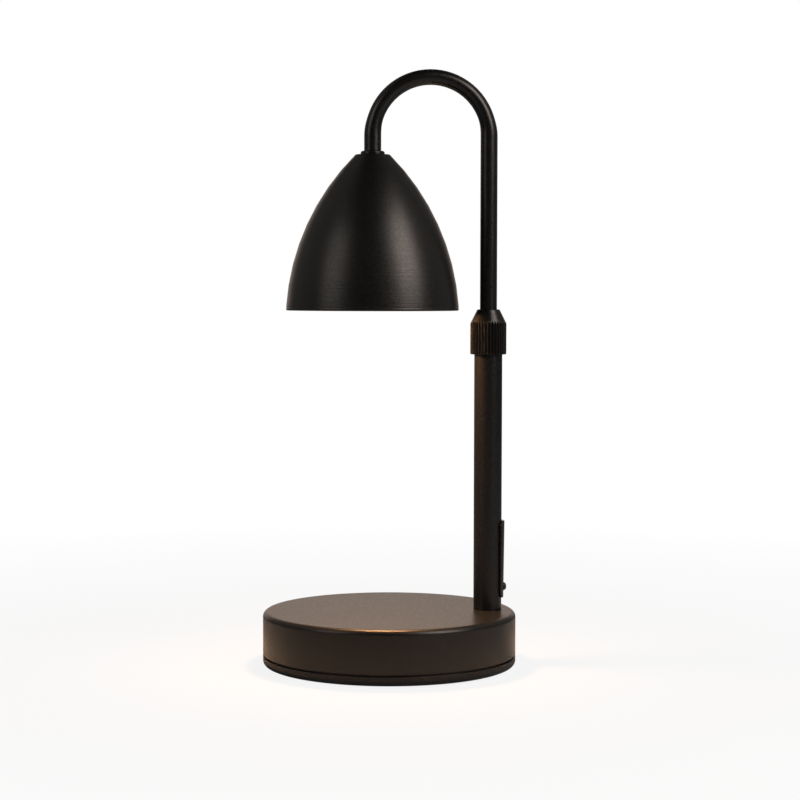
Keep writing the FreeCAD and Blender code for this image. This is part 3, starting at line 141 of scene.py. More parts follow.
studio = bpy.data.worlds.new("studio")
scene.world = studio
studio.use_nodes = True
air = studio.node_tree
ray = add(air, "ShaderNodeLightPath")
direction = add(air, "ShaderNodeTexCoord").outputs["Generated"]
toward_backdrop = add(air, "ShaderNodeSeparateXYZ", Vector=direction).outputs["Y"]
backdrop_share = add(air, "ShaderNodeMapRange", Value=toward_backdrop,
                     From_Min=backdrop_start, From_Max=backdrop_full)
room = ramp(air, backdrop_share.outputs["Result"], (0.0, dark_room), (1.0, lit_backdrop))
seen = add(air, "ShaderNodeMath")
seen.operation = "MAXIMUM"
fill(air, seen, Value=ray.outputs["Is Camera Ray"])
air.links.new(ray.outputs["Is Transmission Ray"], seen.inputs[1])
backdrop = add(air, "ShaderNodeMix")
backdrop.data_type = "RGBA"
air.links.new(seen.outputs["Value"], backdrop.inputs["Factor"])
air.links.new(room, backdrop.inputs[colour_a])
backdrop.inputs[colour_b].default_value = (1.0, 1.0, 1.0, 1.0)
fill(air, air.nodes["Background"], Color=backdrop.outputs[colour_out], Strength=1.0)

floor_half = 6.0
floor_shadow_reach = 0.7  # where the floor turns into plain white backdrop
floor_white_start, floor_least_white = 0.1, 0.88

floor_bm = bmesh.new()
bmesh.ops.create_grid(floor_bm, x_segments=8, y_segments=8, size=floor_half)
floor_mesh = bpy.data.meshes.new("floor")
floor_bm.to_mesh(floor_mesh)
floor_bm.free()
floor = bpy.data.objects.new("floor", floor_mesh)
scene.collection.objects.link(floor)

paper = bpy.data.materials.new("white_paper")
paper.use_nodes = True
floor_mesh.materials.append(paper)
sheet = paper.node_tree
floor_point = add(sheet, "ShaderNodeTexCoord").outputs["Object"]
floor_distance = add(sheet, "ShaderNodeVectorMath", Vector=floor_point)
floor_distance.operation = "LENGTH"
whiteness = add(sheet, "ShaderNodeMapRange", Value=floor_distance.outputs["Value"],
                From_Min=floor_white_start, From_Max=floor_shadow_reach, To_Min=floor_least_white, To_Max=1.0)
camera_white = add(sheet, "ShaderNodeMath")
camera_white.operation = "MULTIPLY"
sheet.links.new(whiteness.outputs["Result"], camera_white.inputs[0])
sheet.links.new(add(sheet, "ShaderNodeLightPath").outputs["Is Camera Ray"], camera_white.inputs[1])
plain_white = add(sheet, "ShaderNodeEmission", Color=(1.0, 1.0, 1.0, 1.0), Strength=1.0)
paper_shader = sheet.nodes["Principled BSDF"]
fill(sheet, paper_shader, Base_Color=(0.5, 0.55, 0.6, 1.0), Roughness=0.9)
paper_mix = add(sheet, "ShaderNodeMixShader", Fac=camera_white.outputs["Value"])
sheet.links.new(paper_shader.outputs["BSDF"], paper_mix.inputs[1])
sheet.links.new(plain_white.outputs["Emission"], paper_mix.inputs[2])
sheet.links.new(paper_mix.outputs["Shader"], sheet.nodes["Material Output"].inputs["Surface"])


# --------------------------------------------------------------------------------------------- base shell
# A drawn steel cup, upside down, with a rounded top edge, a coined seat for the post and a hole in the
# back wall for the cord's bushing. It is powder-coated in a satin near-black with a fine orange peel.

mm = 0.001
body_of = {
    node: body
    for body, nodes in frame["record"]["behaviour"]["bodies"].items()
    for node in nodes
}
arc_step = math.radians(5)
round_segments = 6
sharp_angle = math.radians(35)
same_place = 0.001 * mm
through = 3 * mm  # how far a cutter reaches past a thin wall
wide_steps = 192  # faces round the widest pieces
noise_low, noise_high = 0.3, 0.7  # nearly all of a noise is between these
black_gloss = (1.0, 0.97, 0.95, 1.0)


def verts_in(parts):
    return [part for part in parts if isinstance(part, bmesh.types.BMVert)]


def edges_in(parts):
    return [part for part in parts if isinstance(part, bmesh.types.BMEdge)]


def outline(*corners, closed=True):
    """A wire in the XZ plane.

    A corner is (x, z). Its third value, if any, is how far along both sides it is eased into a round, or
    the centre (x, z) of the arc that leads to it.
    """
    bm = bmesh.new()
    first = last = bm.verts.new((corners[0][0], 0, corners[0][1]))
    eased = []
    for corner in corners[1:]:
        x, z, *way = corner
        if way and isinstance(way[0], tuple):
            last = arc_to(bm, last, x, z, *way[0])
        else:
            end = bm.verts.new((x, 0, z))
            bm.edges.new((last, end))
            last = end
        if way and not isinstance(way[0], tuple):
            eased.append((last, way[0]))
    if closed:
        bm.edges.new((last, first))
    if len(corners[0]) > 2:
        eased.append((first, corners[0][2]))
    for vert, ease in eased:
        bmesh.ops.bevel(bm, geom=[vert], offset=ease, offset_type="OFFSET", affect="VERTICES",
                        segments=round_segments, profile=0.5, material=-1)
    return bm


def arc_to(bm, start, x, z, centre_x, centre_z):
    """Spins a vertex about the centre to (x, z), the shorter way round."""
    from_angle = math.atan2(start.co.z - centre_z, start.co.x - centre_x)
    to_angle = math.atan2(z - centre_z, x - centre_x)
    turn = math.remainder(from_angle - to_angle, math.tau)
    steps = max(3, round(abs(turn) / arc_step))
    spun = bmesh.ops.spin(bm, geom=[start], cent=(centre_x, 0, centre_z), axis=(0, 1, 0), dvec=(0, 0, 0),
                          angle=turn, steps=steps, use_duplicate=False)
    end = verts_in(spun["geom_last"])[0]
    end.co = (x, 0, z)
    return end


def close(bm):
    """Merges what touches and turns the faces outwards."""
    bmesh.ops.remove_doubles(bm, verts=bm.verts, dist=same_place)
    bmesh.ops.recalc_face_normals(bm, faces=bm.faces)
    if bm.calc_volume(signed=True) < 0:
        bmesh.ops.reverse_faces(bm, faces=bm.faces)
    return bm


def turned(*corners, x=0.0, y=0.0, steps=128):
    """A solid of revolution about the upright line through (x, y)."""
    bm = outline(*corners, closed=corners[0][0] > 0)
    bmesh.ops.spin(bm, geom=bm.verts[:] + bm.edges[:], cent=(0, 0, 0), axis=(0, 0, 1), dvec=(0, 0, 0),
                   angle=math.tau, steps=steps, use_merge=True, use_duplicate=False)
    bmesh.ops.translate(bm, verts=bm.verts, vec=(x, y, 0))
    return close(bm)


def cylinder(radius, low, high, x=0.0, y=0.0, steps=64):
    return turned((0, low), (radius, low), (radius, high), (0, high), x=x, y=y, steps=steps)


def cut(bm, *tools, operation="DIFFERENCE"):
    """Takes the tools out of a solid, or joins them to it with operation UNION."""
    for tool in tools:
        pair = []
        for shape in (bm, tool):
            mesh = bpy.data.meshes.new("cutting")
            shape.to_mesh(mesh)
            shape.free()
            pair.append(bpy.data.objects.new("cutting", mesh))
            scene.collection.objects.link(pair[-1])
        boolean = pair[0].modifiers.new("cut", "BOOLEAN")
        boolean.operation = operation
        boolean.solver = "EXACT"
        boolean.object = pair[1]
        bpy.context.view_layer.update()
        bm = bmesh.new()
        bm.from_mesh(pair[0].evaluated_get(bpy.context.evaluated_depsgraph_get()).to_mesh())
        for mesh in [part.data for part in pair]:
            bpy.data.meshes.remove(mesh)
        close(bm)
    return bm


def join(*shapes):
    """One bmesh that holds all the shapes, each still a solid of its own."""
    whole = bmesh.new()
    for shape in shapes:
        mesh = bpy.data.meshes.new("joining")
        shape.to_mesh(mesh)
        shape.free()
        whole.from_mesh(mesh)
        bpy.data.meshes.remove(mesh)
    return whole


def placed(bm, place, turn=None):
    """The same shape, turned about the origin and then moved."""
    if turn:
        bmesh.ops.rotate(bm, verts=bm.verts, cent=(0, 0, 0), matrix=turn)
    bmesh.ops.translate(bm, verts=bm.verts, vec=place)
    return bm


def piece(name, bm, look, *nodes, sharp=sharp_angle):
    """A finished piece in this look, in place of these CAD nodes, which it hides, on the first node's body.
    """
    for face in bm.faces:
        face.smooth = True
    for edge in bm.edges:
        edge.smooth = edge.calc_face_angle(0) < sharp
    mesh = bpy.data.meshes.new(name)
    bm.to_mesh(mesh)
    bm.free()
    mesh.materials.append(look)
    made = bpy.data.objects.new(name, mesh)
    scene.collection.objects.link(made)
    made.modifiers.new("flat_faces_stay_flat", "WEIGHTED_NORMAL").keep_sharp = True
    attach(made, body_of[nodes[0]])
    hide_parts(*nodes)
    return made


def dress(look, *nodes):
    """Gives these CAD pieces, whose shape is already right, their finish."""
    for node in nodes:
        materials = frame["nodes"][node].data.materials
        materials.clear()
        materials.append(look)


def grain(tree, size, stretch=(1.0, 1.0, 1.0), detail=2.0):
    """Noise whose lumps are about this size, in metres, shorter along an axis with a larger stretch."""
    point = add(tree, "ShaderNodeTexCoord").outputs["Object"]
    point = add(tree, "ShaderNodeVectorMath", Vector=point)
    point.operation = "MULTIPLY"
    point.inputs[1].default_value = stretch
    noise = add(tree, "ShaderNodeTexNoise", Vector=point.outputs["Vector"], Scale=1.0 / size, Detail=detail)
    return noise.outputs["Fac"]


def material(name, colour, roughness, bumps=(), **settings):
    """A material whose colour and roughness wander a little, with fine bumps on it.

    Its colour is the size and detail of the grain, and a dark and a light colour. Its roughness is the size
    of the grain, and a low and a high value. A bump is the size of the grain, its depth, and how the grain
    is stretched, if it is. The settings are the shader's own.
    """
    look = bpy.data.materials.new(name)
    look.use_nodes = True
    tree = look.node_tree
    shader = tree.nodes["Principled BSDF"]
    colour_size, detail, dark, light = colour
    fill(tree, shader, **settings, Base_Color=ramp(
        tree, grain(tree, colour_size, detail=detail), (noise_low, dark), (noise_high, light)))
    rough_size, smooth, rough = roughness
    wander = add(tree, "ShaderNodeMapRange", Value=grain(tree, rough_size), From_Min=noise_low,
                 From_Max=noise_high, To_Min=smooth, To_Max=rough)
    fill(tree, shader, Roughness=wander.outputs["Result"])
    normal = None
    for size, depth, *stretch in bumps:
        bump = add(tree, "ShaderNodeBump", Height=grain(tree, size, *stretch), Distance=depth)
        if normal:
            tree.links.new(normal, bump.inputs["Normal"])
        normal = bump.outputs["Normal"]
    if normal:
        tree.links.new(normal, shader.inputs["Normal"])
    return look


def black_coat(name, roughness, *metal):
    """Baked black paint with a fine orange peel, over these bumps of the metal's own surface."""
    return material(name, colour=(0.5 * mm, 4.0, (0.0036, 0.0036, 0.0036), (0.0062, 0.0062, 0.0062)),
                    roughness=(1.3 * mm, roughness, roughness + 0.08),
                    bumps=[*metal, (0.9 * mm, 0.005 * mm), (0.4 * mm, 0.003 * mm)],
                    Specular_IOR_Level=0.42, Specular_Tint=black_gloss)


powder_coat = black_coat("powder_coat", 0.27)
matt_coat = black_coat("matt_coat", 0.32)

low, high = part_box("base_shell")
base_radius, base_top, shell_low = high.x, high.z, low.z
shell_wall = 1.2 * mm
shell_round = 3.0 * mm
shell_lip = 0.3 * mm
shell_inner = base_radius - shell_wall
shell_under = base_top - shell_wall

post_low, post_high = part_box("post_tube")
post_x = (post_low.x + post_high.x) / 2
post_radius = (post_high.x - post_low.x) / 2
seat_gap = 0.15 * mm
stud_hole = 5.35 * mm

bushing_low, bushing_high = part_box("cord_bushing")
inlet_height = (bushing_low.z + bushing_high.z) / 2
inlet_hole = 4.9 * mm

cup = turned(
    (0, shell_under), (shell_inner, shell_under, shell_round - shell_wall),
    (shell_inner, shell_low, shell_lip), (base_radius, shell_low, shell_lip),
    (base_radius, base_top, shell_round), (0, base_top), steps=wide_steps)
post_seat = cylinder(post_radius + seat_gap, post_low.z, base_top + mm, x=post_x)
stud_way = cylinder(stud_hole, shell_under - mm, base_top, x=post_x)
inlet_way = placed(cylinder(inlet_hole, shell_inner - mm * 2, base_radius + mm), (0, 0, inlet_height),
                   Matrix.Rotation(-math.pi / 2, 3, "X"))
piece("drawn_shell", cut(cup, post_seat, stud_way, inlet_way), matt_coat, "base_shell")


# -------------------------------------------------------------------------------------------- base weight
# Disc of grey cast iron under the crown of the shell, left as cast, with tapped holes from below. The
# solid's shape is right as it is.

cast_iron = material(
    "cast_iron", colour=(3.0 * mm, 5.0, (0.05, 0.047, 0.045), (0.12, 0.115, 0.11)),
    roughness=(1.5 * mm, 0.5, 0.75), bumps=[(2.2 * mm, 0.12 * mm), (0.5 * mm, 0.05 * mm)], Metallic=0.5)
dress(cast_iron, "base_weight")


# --------------------------------------------------------------------------------- cover, feet and screws
# The base is closed by a moulded cover with a spigot that centres the shell. Three cross-head screws go up
# through its bosses into the weight, and four rubber feet are pressed into its underside.

dark_plastic = material(
    "dark_plastic", colour=(0.9 * mm, 3.0, (0.0045, 0.0042, 0.004), (0.0075, 0.0071, 0.0067)),
    roughness=(0.7 * mm, 0.40, 0.50), bumps=[(0.22 * mm, 0.012 * mm)],
    Specular_IOR_Level=0.36, Specular_Tint=black_gloss)
zinc_plate = material(
    "zinc_plate", colour=(1.2 * mm, 4.0, (0.52, 0.53, 0.55), (0.70, 0.71, 0.72)),
    roughness=(0.5 * mm, 0.22, 0.36), bumps=[(0.3 * mm, 0.006 * mm, (1.0, 1.0, 6.0))], Metallic=1.0)
rubber = material(
    "rubber", colour=(1.0 * mm, 2.0, (0.012, 0.012, 0.012), (0.022, 0.021, 0.02)),
    roughness=(0.6 * mm, 0.7, 0.85), bumps=[(0.3 * mm, 0.02 * mm)], Specular_IOR_Level=0.3)


def around(count, first_turn, radius):
    """Places evenly round the base's axis, the first at this angle."""
    turns = [first_turn + math.tau * step / count for step in range(count)]
    return [(radius * math.cos(turn), radius * math.sin(turn)) for turn in turns]


def block(length, width, height, centre=(0, 0, 0)):
    """A box with its sides along the axes."""
    bm = bmesh.new()
    bmesh.ops.create_cube(bm, size=1.0)
    bmesh.ops.scale(bm, verts=bm.verts, vec=(length, width, height))
    return placed(bm, centre)


def threaded(radius, pitch, low, high, sides=40):
    """A rod with a screw thread, cut square at both ends."""
    bm = bmesh.new()
    root = radius - pitch * thread_share
    turns = math.ceil((high - low) / pitch) + 2
    profile = ((root, 0), (radius, pitch / 2), (root, pitch))
    ridge = [bm.verts.new((x, 0, low - pitch + rise)) for x, rise in profile]
    edges = [bm.edges.new(pair) for pair in zip(ridge, ridge[1:])]
    bmesh.ops.spin(bm, geom=ridge + edges, cent=(0, 0, 0), axis=(0, 0, 1), dvec=(0, 0, pitch / sides),
                   angle=math.tau * turns, steps=turns * sides, use_duplicate=False)
    bmesh.ops.remove_doubles(bm, verts=bm.verts, dist=same_place)
    for height, up in ((low, -1), (high, 1)):
        bisected = bmesh.ops.bisect_plane(bm, geom=bm.verts[:] + bm.edges[:] + bm.faces[:], dist=on_plane,
                                          plane_co=(0, 0, height), plane_no=(0, 0, up), clear_outer=True)
        bmesh.ops.edgeloop_fill(bm, edges=edges_in(bisected["geom_cut"]))
    return close(bm)


def cross_screw(head_radius, head_height, radius, length, pitch):
    """A pan-head screw that points down, with a cross recess; the underside of its head is at the origin."""
    lower_round, shoulder, shoulder_round = head_height * 0.1, head_height * 0.4, head_height * 0.25
    crown, crown_round = head_radius * 0.62, head_radius * 0.25
    recess_width, recess_height, recess_middle = head_radius * 0.22, head_height * 1.2, head_height * 0.95
    shank_top = head_height * 0.2
    head = turned((0, 0), (head_radius, 0, lower_round), (head_radius, shoulder, shoulder_round),
                  (crown, head_height, crown_round), (0, head_height), steps=48)
    bars = []
    for turn in (0, math.pi / 2):
        bar = block(head_radius, recess_width, recess_height)
        for vert in bar.verts:
            if vert.co.z < 0:
                vert.co.xy *= recess_taper
        bars.append(placed(bar, (0, 0, recess_middle), Matrix.Rotation(turn, 3, "Z")))
    return cut(cut(head, threaded(radius, pitch, -length, shank_top), operation="UNION"), *bars)


thread_share = 0.55  # depth of a thread, as a share of its pitch
recess_taper = 0.45  # size of a cross recess at its bottom, as a share of its top
on_plane = 0.0001 * mm
upside_down = Matrix.Rotation(math.pi, 3, "X")

cover_low, cover_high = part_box("bottom_cover")
cover_rim = cover_low.z + 5.2 * mm
cover_round = 2.7 * mm
cover_edge = 0.3 * mm
cover_inside = cover_low.z + 2.0 * mm
spigot = shell_inner - 0.25 * mm
spigot_inner = spigot - 1.6 * mm
spigot_high = cover_rim + 3.8 * mm
foot_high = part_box("rubber_feet")[1]
foot_radius = 6.0 * mm
foot_circle = (foot_high.x - foot_radius) * math.sqrt(2)
foot_gap = 0.2 * mm
foot_turn = math.pi / 4
boss_circle = 50.0 * mm
boss_radius = 5.0 * mm
boss_turn = math.pi / 3
boss_hole = 1.7 * mm
boss_recess = 3.35 * mm
screw_seat = cover_inside + 2.9 * mm
notch_half = 6.1 * mm
notch_middle = base_radius * 1.3
notch_low, notch_high = cover_rim + 0.01 * mm, spigot_high + mm

dish = turned(
    (0, cover_low.z), (base_radius, cover_low.z, cover_round), (base_radius, cover_rim, cover_edge),
    (spigot, cover_rim), (spigot, spigot_high, cover_edge), (spigot_inner, spigot_high, cover_edge),
    (spigot_inner, cover_inside, cover_edge * 2), (0, cover_inside), steps=wide_steps)
boss_places = around(3, boss_turn, boss_circle)
foot_places = around(4, foot_turn, foot_circle)
bosses = [cylinder(boss_radius, cover_inside - mm, cover_high.z, x, y) for x, y in boss_places]
recesses = [cylinder(boss_recess, cover_low.z - mm, screw_seat, x, y) for x, y in boss_places]
recesses += [cylinder(boss_hole, cover_low.z, cover_high.z + mm, x, y) for x, y in boss_places]
recesses += [cylinder(foot_radius + foot_gap, cover_low.z - mm, foot_high.z, x, y) for x, y in foot_places]
notch = block(notch_half * 2, base_radius, notch_high - notch_low,
              (0, notch_middle, (notch_high + notch_low) / 2))
cover = cut(cut(dish, *bosses, operation="UNION"), *recesses, notch)
piece("moulded_cover", cover, dark_plastic, "bottom_cover")

foot_round = 0.8 * mm
tread_width = 0.8 * mm
tread_depth = 0.35 * mm
inner_tread, outer_tread = foot_radius * 0.35, foot_radius * 0.7
feet = join(*[
    turned((0, 0), (inner_tread, 0), (inner_tread + tread_width / 2, tread_depth),
           (inner_tread + tread_width, 0), (outer_tread, 0),
           (outer_tread + tread_width / 2, tread_depth), (outer_tread + tread_width, 0),
           (foot_radius, 0, foot_round), (foot_radius, foot_high.z), (0, foot_high.z), x=x, y=y, steps=64)
    for x, y in foot_places
])
piece("treaded_feet", feet, rubber, "rubber_feet")

screw_low, screw_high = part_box("cover_screws")
screw_head = 2.75 * mm
screw_radius = 1.5 * mm
screw_pitch = 0.7 * mm
cover_screws = join(*[
    placed(cross_screw(screw_head, screw_seat - screw_low.z, screw_radius,
                       screw_high.z - screw_seat, screw_pitch), (x, y, screw_seat), upside_down)
    for x, y in boss_places
])
piece("cover_cross_screws", cover_screws, zinc_plate, "cover_screws")


# --------------------------------------------------------------------------------------------- cord inlet
# Snap-in bushing of the same dark plastic in the back wall of the shell, with a lip outside and barbs
# inside.

dress(dark_plastic, "cord_bushing")


# ----------------------------------------------------------------------------------------- terminal block
# Two-pole block under the weight, where a cord's wires meet the leads: natural nylon, brass barrels and
# zinc-plated screws.

nylon = material(
    "nylon", colour=(4.0 * mm, 2.0, (0.66, 0.64, 0.55), (0.74, 0.72, 0.64)),
    roughness=(0.8 * mm, 0.38, 0.5), bumps=[(0.35 * mm, 0.008 * mm)],
    Subsurface_Weight=0.15, Subsurface_Scale=0.002)
brass = material(
    "brass", colour=(1.5 * mm, 4.0, (0.52, 0.34, 0.11), (0.68, 0.47, 0.18)),
    roughness=(0.6 * mm, 0.2, 0.34), bumps=[(0.25 * mm, 0.006 * mm, (1.0, 1.0, 8.0))], Metallic=1.0)

dress(nylon, "terminal_block")
dress(brass, "terminal_barrels")
dress(zinc_plate, "terminal_screws", "terminal_fixing_screw")


# ---------------------------------------------------------------------------------------------- post tube
# Straight steel tube in the same coat. Its lower end sits in the seat of the shell, its upper end goes up
# under the collar, and a window low on its outer side gives access to the wires.

post_wall = 0.9 * mm
post_edge = 0.25 * mm
window_half_width = 4.0 * mm
window_low, window_high = base_top + 20.3 * mm, base_top + 44.3 * mm
window_middle = (window_low + window_high) / 2

tube = turned(
    (post_radius - post_wall, post_low.z, post_edge), (post_radius, post_low.z, post_edge),
    (post_radius, post_high.z, post_edge), (post_radius - post_wall, post_high.z, post_edge), x=post_x)
window = block(post_radius, window_half_width * 2, window_high - window_low,
               (post_x + post_radius, 0, window_middle))
piece("steel_post", cut(tube, window), powder_coat, "post_tube")


# -------------------------------------------------------------------------------------------- post fixing
# A steel plug in the foot of the post is drawn down by a hollow threaded stud, which the wires go through,
# with a washer, a spring washer and a nut under the weight.

stud_low, stud_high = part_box("post_stud")
stud_radius = (stud_high.y - stud_low.y) / 2
stud_bore = 3.3 * mm
stud_pitch = 1.0 * mm

stud = threaded(stud_radius, stud_pitch, stud_low.z, stud_high.z, sides=48)
stud = placed(cut(stud, cylinder(stud_bore, stud_low.z - mm, stud_high.z + mm)), (post_x, 0, 0))
piece("threaded_stud", stud, zinc_plate, "post_stud")
dress(zinc_plate, "post_plug", "post_washer", "post_lock_washer", "post_nut")


# ------------------------------------------------------------------------------------------- wiring cover
# A small steel plate rolled to the post's curve, over the window, thicker at the top. A key behind it fills
# the window, and one black cross-head screw near its foot holds it.

plate_low, plate_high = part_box("wiring_cover")
plate_radius = post_radius + 0.05 * mm
plate_half_width = (plate_high.y - plate_low.y) / 2
plate_foot_thickness = 1.1 * mm
plate_top_thickness = plate_high.x - post_x - plate_radius
plate_half_turn = math.asin(plate_half_width / (plate_radius + plate_top_thickness))
plate_corner = 3.0 * mm
plate_edge = 0.3 * mm
plate_cuts = 12
key_gap = 0.15 * mm
key_inner = post_radius - post_wall + key_gap
key_outer = plate_radius + plate_foot_thickness / 2
key_half_turn = math.asin((window_half_width - key_gap) / post_radius)


def rolled(bm):
    """Rolls a flat shape round the post: its Y goes round, and its X is the distance from the axis."""
    for step in range(plate_cuts + 1):
        across = plate_half_width * (2 * step / plate_cuts - 1)
        bmesh.ops.bisect_plane(bm, geom=bm.verts[:] + bm.edges[:] + bm.faces[:], plane_co=(0, across, 0),
                               plane_no=(0, 1, 0))
    for vert in bm.verts:
        turn = plate_half_turn * vert.co.y / plate_half_width
        vert.co.xy = (post_x + vert.co.x * math.cos(turn), vert.co.x * math.sin(turn))
    return close(bm)


plate = outline(
    (-plate_half_width, plate_low.z, plate_corner), (plate_half_width, plate_low.z, plate_corner),
    (plate_half_width, plate_high.z, plate_corner), (-plate_half_width, plate_high.z, plate_corner))
back = bmesh.ops.contextual_create(plate, geom=plate.edges[:])["faces"]
raised = bmesh.ops.extrude_face_region(plate, geom=back)["geom"]
for vert in plate.verts:
    vert.co.y = -plate_radius
for vert in verts_in(raised):
    share = (vert.co.z - plate_low.z) / (plate_high.z - plate_low.z)
    vert.co.y -= plate_foot_thickness + (plate_top_thickness - plate_foot_thickness) * share
bmesh.ops.bevel(plate, geom=edges_in(raised), offset=plate_edge, offset_type="OFFSET", affect="EDGES",
                segments=3, profile=0.5, material=-1)
rolled(placed(plate, (0, 0, 0), Matrix.Rotation(math.pi / 2, 3, "Z")))

key = rolled(block(
    key_outer - key_inner, plate_half_width * 2 * key_half_turn / plate_half_turn,
    window_high - window_low - key_gap * 2, ((key_inner + key_outer) / 2, 0, window_middle)))

black_screw_low, black_screw_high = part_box("wiring_cover_screw")
black_screw_head = (black_screw_high.y - black_screw_low.y) / 2
black_screw_seat = post_x + plate_radius + plate_foot_thickness - 0.35 * mm
black_screw_place = (black_screw_seat, 0, (black_screw_high.z + black_screw_low.z) / 2)
black_screw_radius = 1.25 * mm
black_screw_way = black_screw_radius + 0.1 * mm
black_screw_pitch = 0.45 * mm
outwards = Matrix.Rotation(math.pi / 2, 3, "Y")
screw_way = placed(cylinder(black_screw_way, -through, through), black_screw_place, outwards)
screw_spot = placed(cylinder(black_screw_head + key_gap, 0, through), black_screw_place, outwards)
keyed_plate = cut(cut(plate, key, operation="UNION"), screw_way, screw_spot)
piece("keyed_plate", keyed_plate, powder_coat, "wiring_cover")

black_oxide = material(
    "black_oxide", colour=(0.8 * mm, 4.0, (0.012, 0.011, 0.010), (0.03, 0.028, 0.026)),
    roughness=(0.4 * mm, 0.3, 0.42), bumps=[(0.2 * mm, 0.005 * mm)], Metallic=0.6)
black_screw = cross_screw(black_screw_head, black_screw_high.x - black_screw_seat, black_screw_radius,
                          black_screw_seat - black_screw_low.x, black_screw_pitch)
placed(black_screw, black_screw_place, outwards)
piece("black_cross_screw", black_screw, black_oxide, "wiring_cover_screw")


# ------------------------------------------------------------------------------------- ferrule and collet
# The top of the post carries a threaded brass ferrule. The slit nylon collet in it is squeezed on the arm
# by the cone inside the collar.

dress(brass, "post_ferrule")
dress(nylon, "grip_collet")


# -------------------------------------------------------------------------------------------- lock collar
# A turned ring that clamps the arm: straight knurling all round, cut before the taper is turned, so each
# groove runs out in a scallop on the cone. Its teeth are round, as under a coat.

collar_low, collar_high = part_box("lock_collar")
collar_radius = (collar_high.y - collar_low.y) / 2
tooth_count = 36
tooth_depth = 0.75 * mm
steps_per_tooth = 10
collar_bevel = 0.4 * mm
taper_start = collar_high.z - 7.8 * mm
scallop_height = 1.7 * mm
scallop_rings = 10
nose_radius = 6.15 * mm
nose_round = 0.4 * mm
collet_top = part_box("grip_collet")[1].z
skirt_bore, skirt_end = 7.9 * mm, post_high.z + 0.5 * mm
thread_bore, thread_end = 7.7 * mm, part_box("post_ferrule")[1].z + 1.0 * mm
cone_mouth, cone_throat = 6.3 * mm, 5.2 * mm
nose_bore, nose_step = 5.0 * mm, collet_top + 0.5 * mm

ring = turned(
    (skirt_bore, collar_low.z), (collar_radius - collar_bevel, collar_low.z, collar_bevel / 2),
    (collar_radius, collar_low.z + collar_bevel, collar_bevel / 2), (collar_radius, taper_start),
    (nose_radius, collar_high.z, nose_round), (nose_bore, collar_high.z, nose_round / 2),
    (nose_bore, nose_step), (cone_throat, nose_step), (cone_throat, collet_top), (cone_mouth, thread_end),
    (thread_bore, thread_end), (thread_bore, skirt_end), (skirt_bore, skirt_end),
    steps=tooth_count * steps_per_tooth)
for step in range(1, scallop_rings + 1):
    ring_height = taper_start + scallop_height * step / scallop_rings
    bmesh.ops.bisect_plane(ring, geom=ring.verts[:] + ring.edges[:] + ring.faces[:],
                           plane_co=(0, 0, ring_height), plane_no=(0, 0, 1))
for vert in ring.verts:
    radius = vert.co.xy.length
    groove = 0.5 - 0.5 * math.cos(tooth_count * math.atan2(vert.co.y, vert.co.x))
    limit = collar_radius - tooth_depth * groove
    if radius > limit:
        vert.co.xy *= limit / radius
bmesh.ops.translate(ring, verts=ring.verts, vec=(post_x, 0, 0))
piece("knurled_collar", ring, powder_coat, "lock_collar")


# --------------------------------------------------------------------------------------- bush in the post
# The lower end of the arm turns in a nylon bush that runs in the post. Two spring clips of zinc-plated wire
# hold it between them.

dress(nylon, "guide_bush")
dress(zinc_plate, "bush_clips")


# ---------------------------------------------------------------------------------------------------- arm
# One steel tube, bent cold through a half turn, which draws it a little flat in the bend. Its long leg
# slides in the post and its short leg stands on the neck of the shade.

arm_low, arm_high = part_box("arm_tube")
arm_radius = 4.7 * mm
arm_wall = 0.8 * mm
bend_radius = 32.1 * mm
bend_width = 8.6 * mm
bend_x = post_x - bend_radius
bend_height = arm_high.z - arm_radius - bend_radius
lamp_x = post_x - bend_radius * 2
ring_low, ring_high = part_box("neck_ring")
arm_steps = 64
tube_sides = 48
flattening_turn = 0.35  # the share of the bend's height over which the tube goes flat

arm = bmesh.new()
bmesh.ops.create_circle(arm, segments=tube_sides, radius=arm_radius)
bmesh.ops.translate(arm, verts=arm.verts, vec=(post_x, 0, bend_height))
section = arm.edges[:]
leg = bmesh.ops.extrude_edge_only(arm, edges=section)["geom"]
bmesh.ops.translate(arm, verts=verts_in(leg), vec=(0, 0, arm_low.z - bend_height))
spun = bmesh.ops.spin(arm, geom=section, cent=(bend_x, 0, bend_height), axis=(0, 1, 0), dvec=(0, 0, 0),
                      angle=-math.pi, steps=arm_steps, use_duplicate=False)["geom_last"]
short_leg = bmesh.ops.extrude_edge_only(arm, edges=edges_in(spun))["geom"]
bmesh.ops.translate(arm, verts=verts_in(short_leg), vec=(0, 0, ring_high.z - bend_height))
for vert in arm.verts:
    out = vert.co - Vector((bend_x, vert.co.y, bend_height))
    if out.z > 0:
        flat = min(1.0, out.z / out.length / flattening_turn)
        flat = flat * flat * (3 - 2 * flat) * (1 - bend_width / (arm_radius * 2))  # eased at both ends
        off_centre = out.length - bend_radius
        vert.co -= out.normalized() * off_centre * flat
close(arm)
bmesh.ops.solidify(arm, geom=arm.faces[:], thickness=arm_wall)
piece("bent_arm", arm, powder_coat, "arm_tube")


# ---------------------------------------------------------------------------------------------- neck ring
# Small turned ring between the end of the arm and the crown of the shade, coated with them. Its upper edge
# is bevelled.

ring_radius = (ring_high.y - ring_low.y) / 2
ring_bore = 3.9 * mm
ring_bevel = 0.6 * mm
ring_round = 0.2 * mm

piece("turned_neck_ring", turned(
    (ring_bore, ring_low.z), (ring_radius, ring_low.z, ring_round),
    (ring_radius, ring_high.z - ring_bevel, ring_round),
    (ring_radius - ring_bevel, ring_high.z, ring_round), (ring_bore, ring_high.z),
    x=lamp_x, steps=96), powder_coat, "neck_ring")


# -------------------------------------------------------------------------------------------------- shade
# A bell spun from steel sheet: its side is one long arc, and its edge is rolled inwards to a bead, which
# leaves a fine line a little above the edge. Coated inside and out.

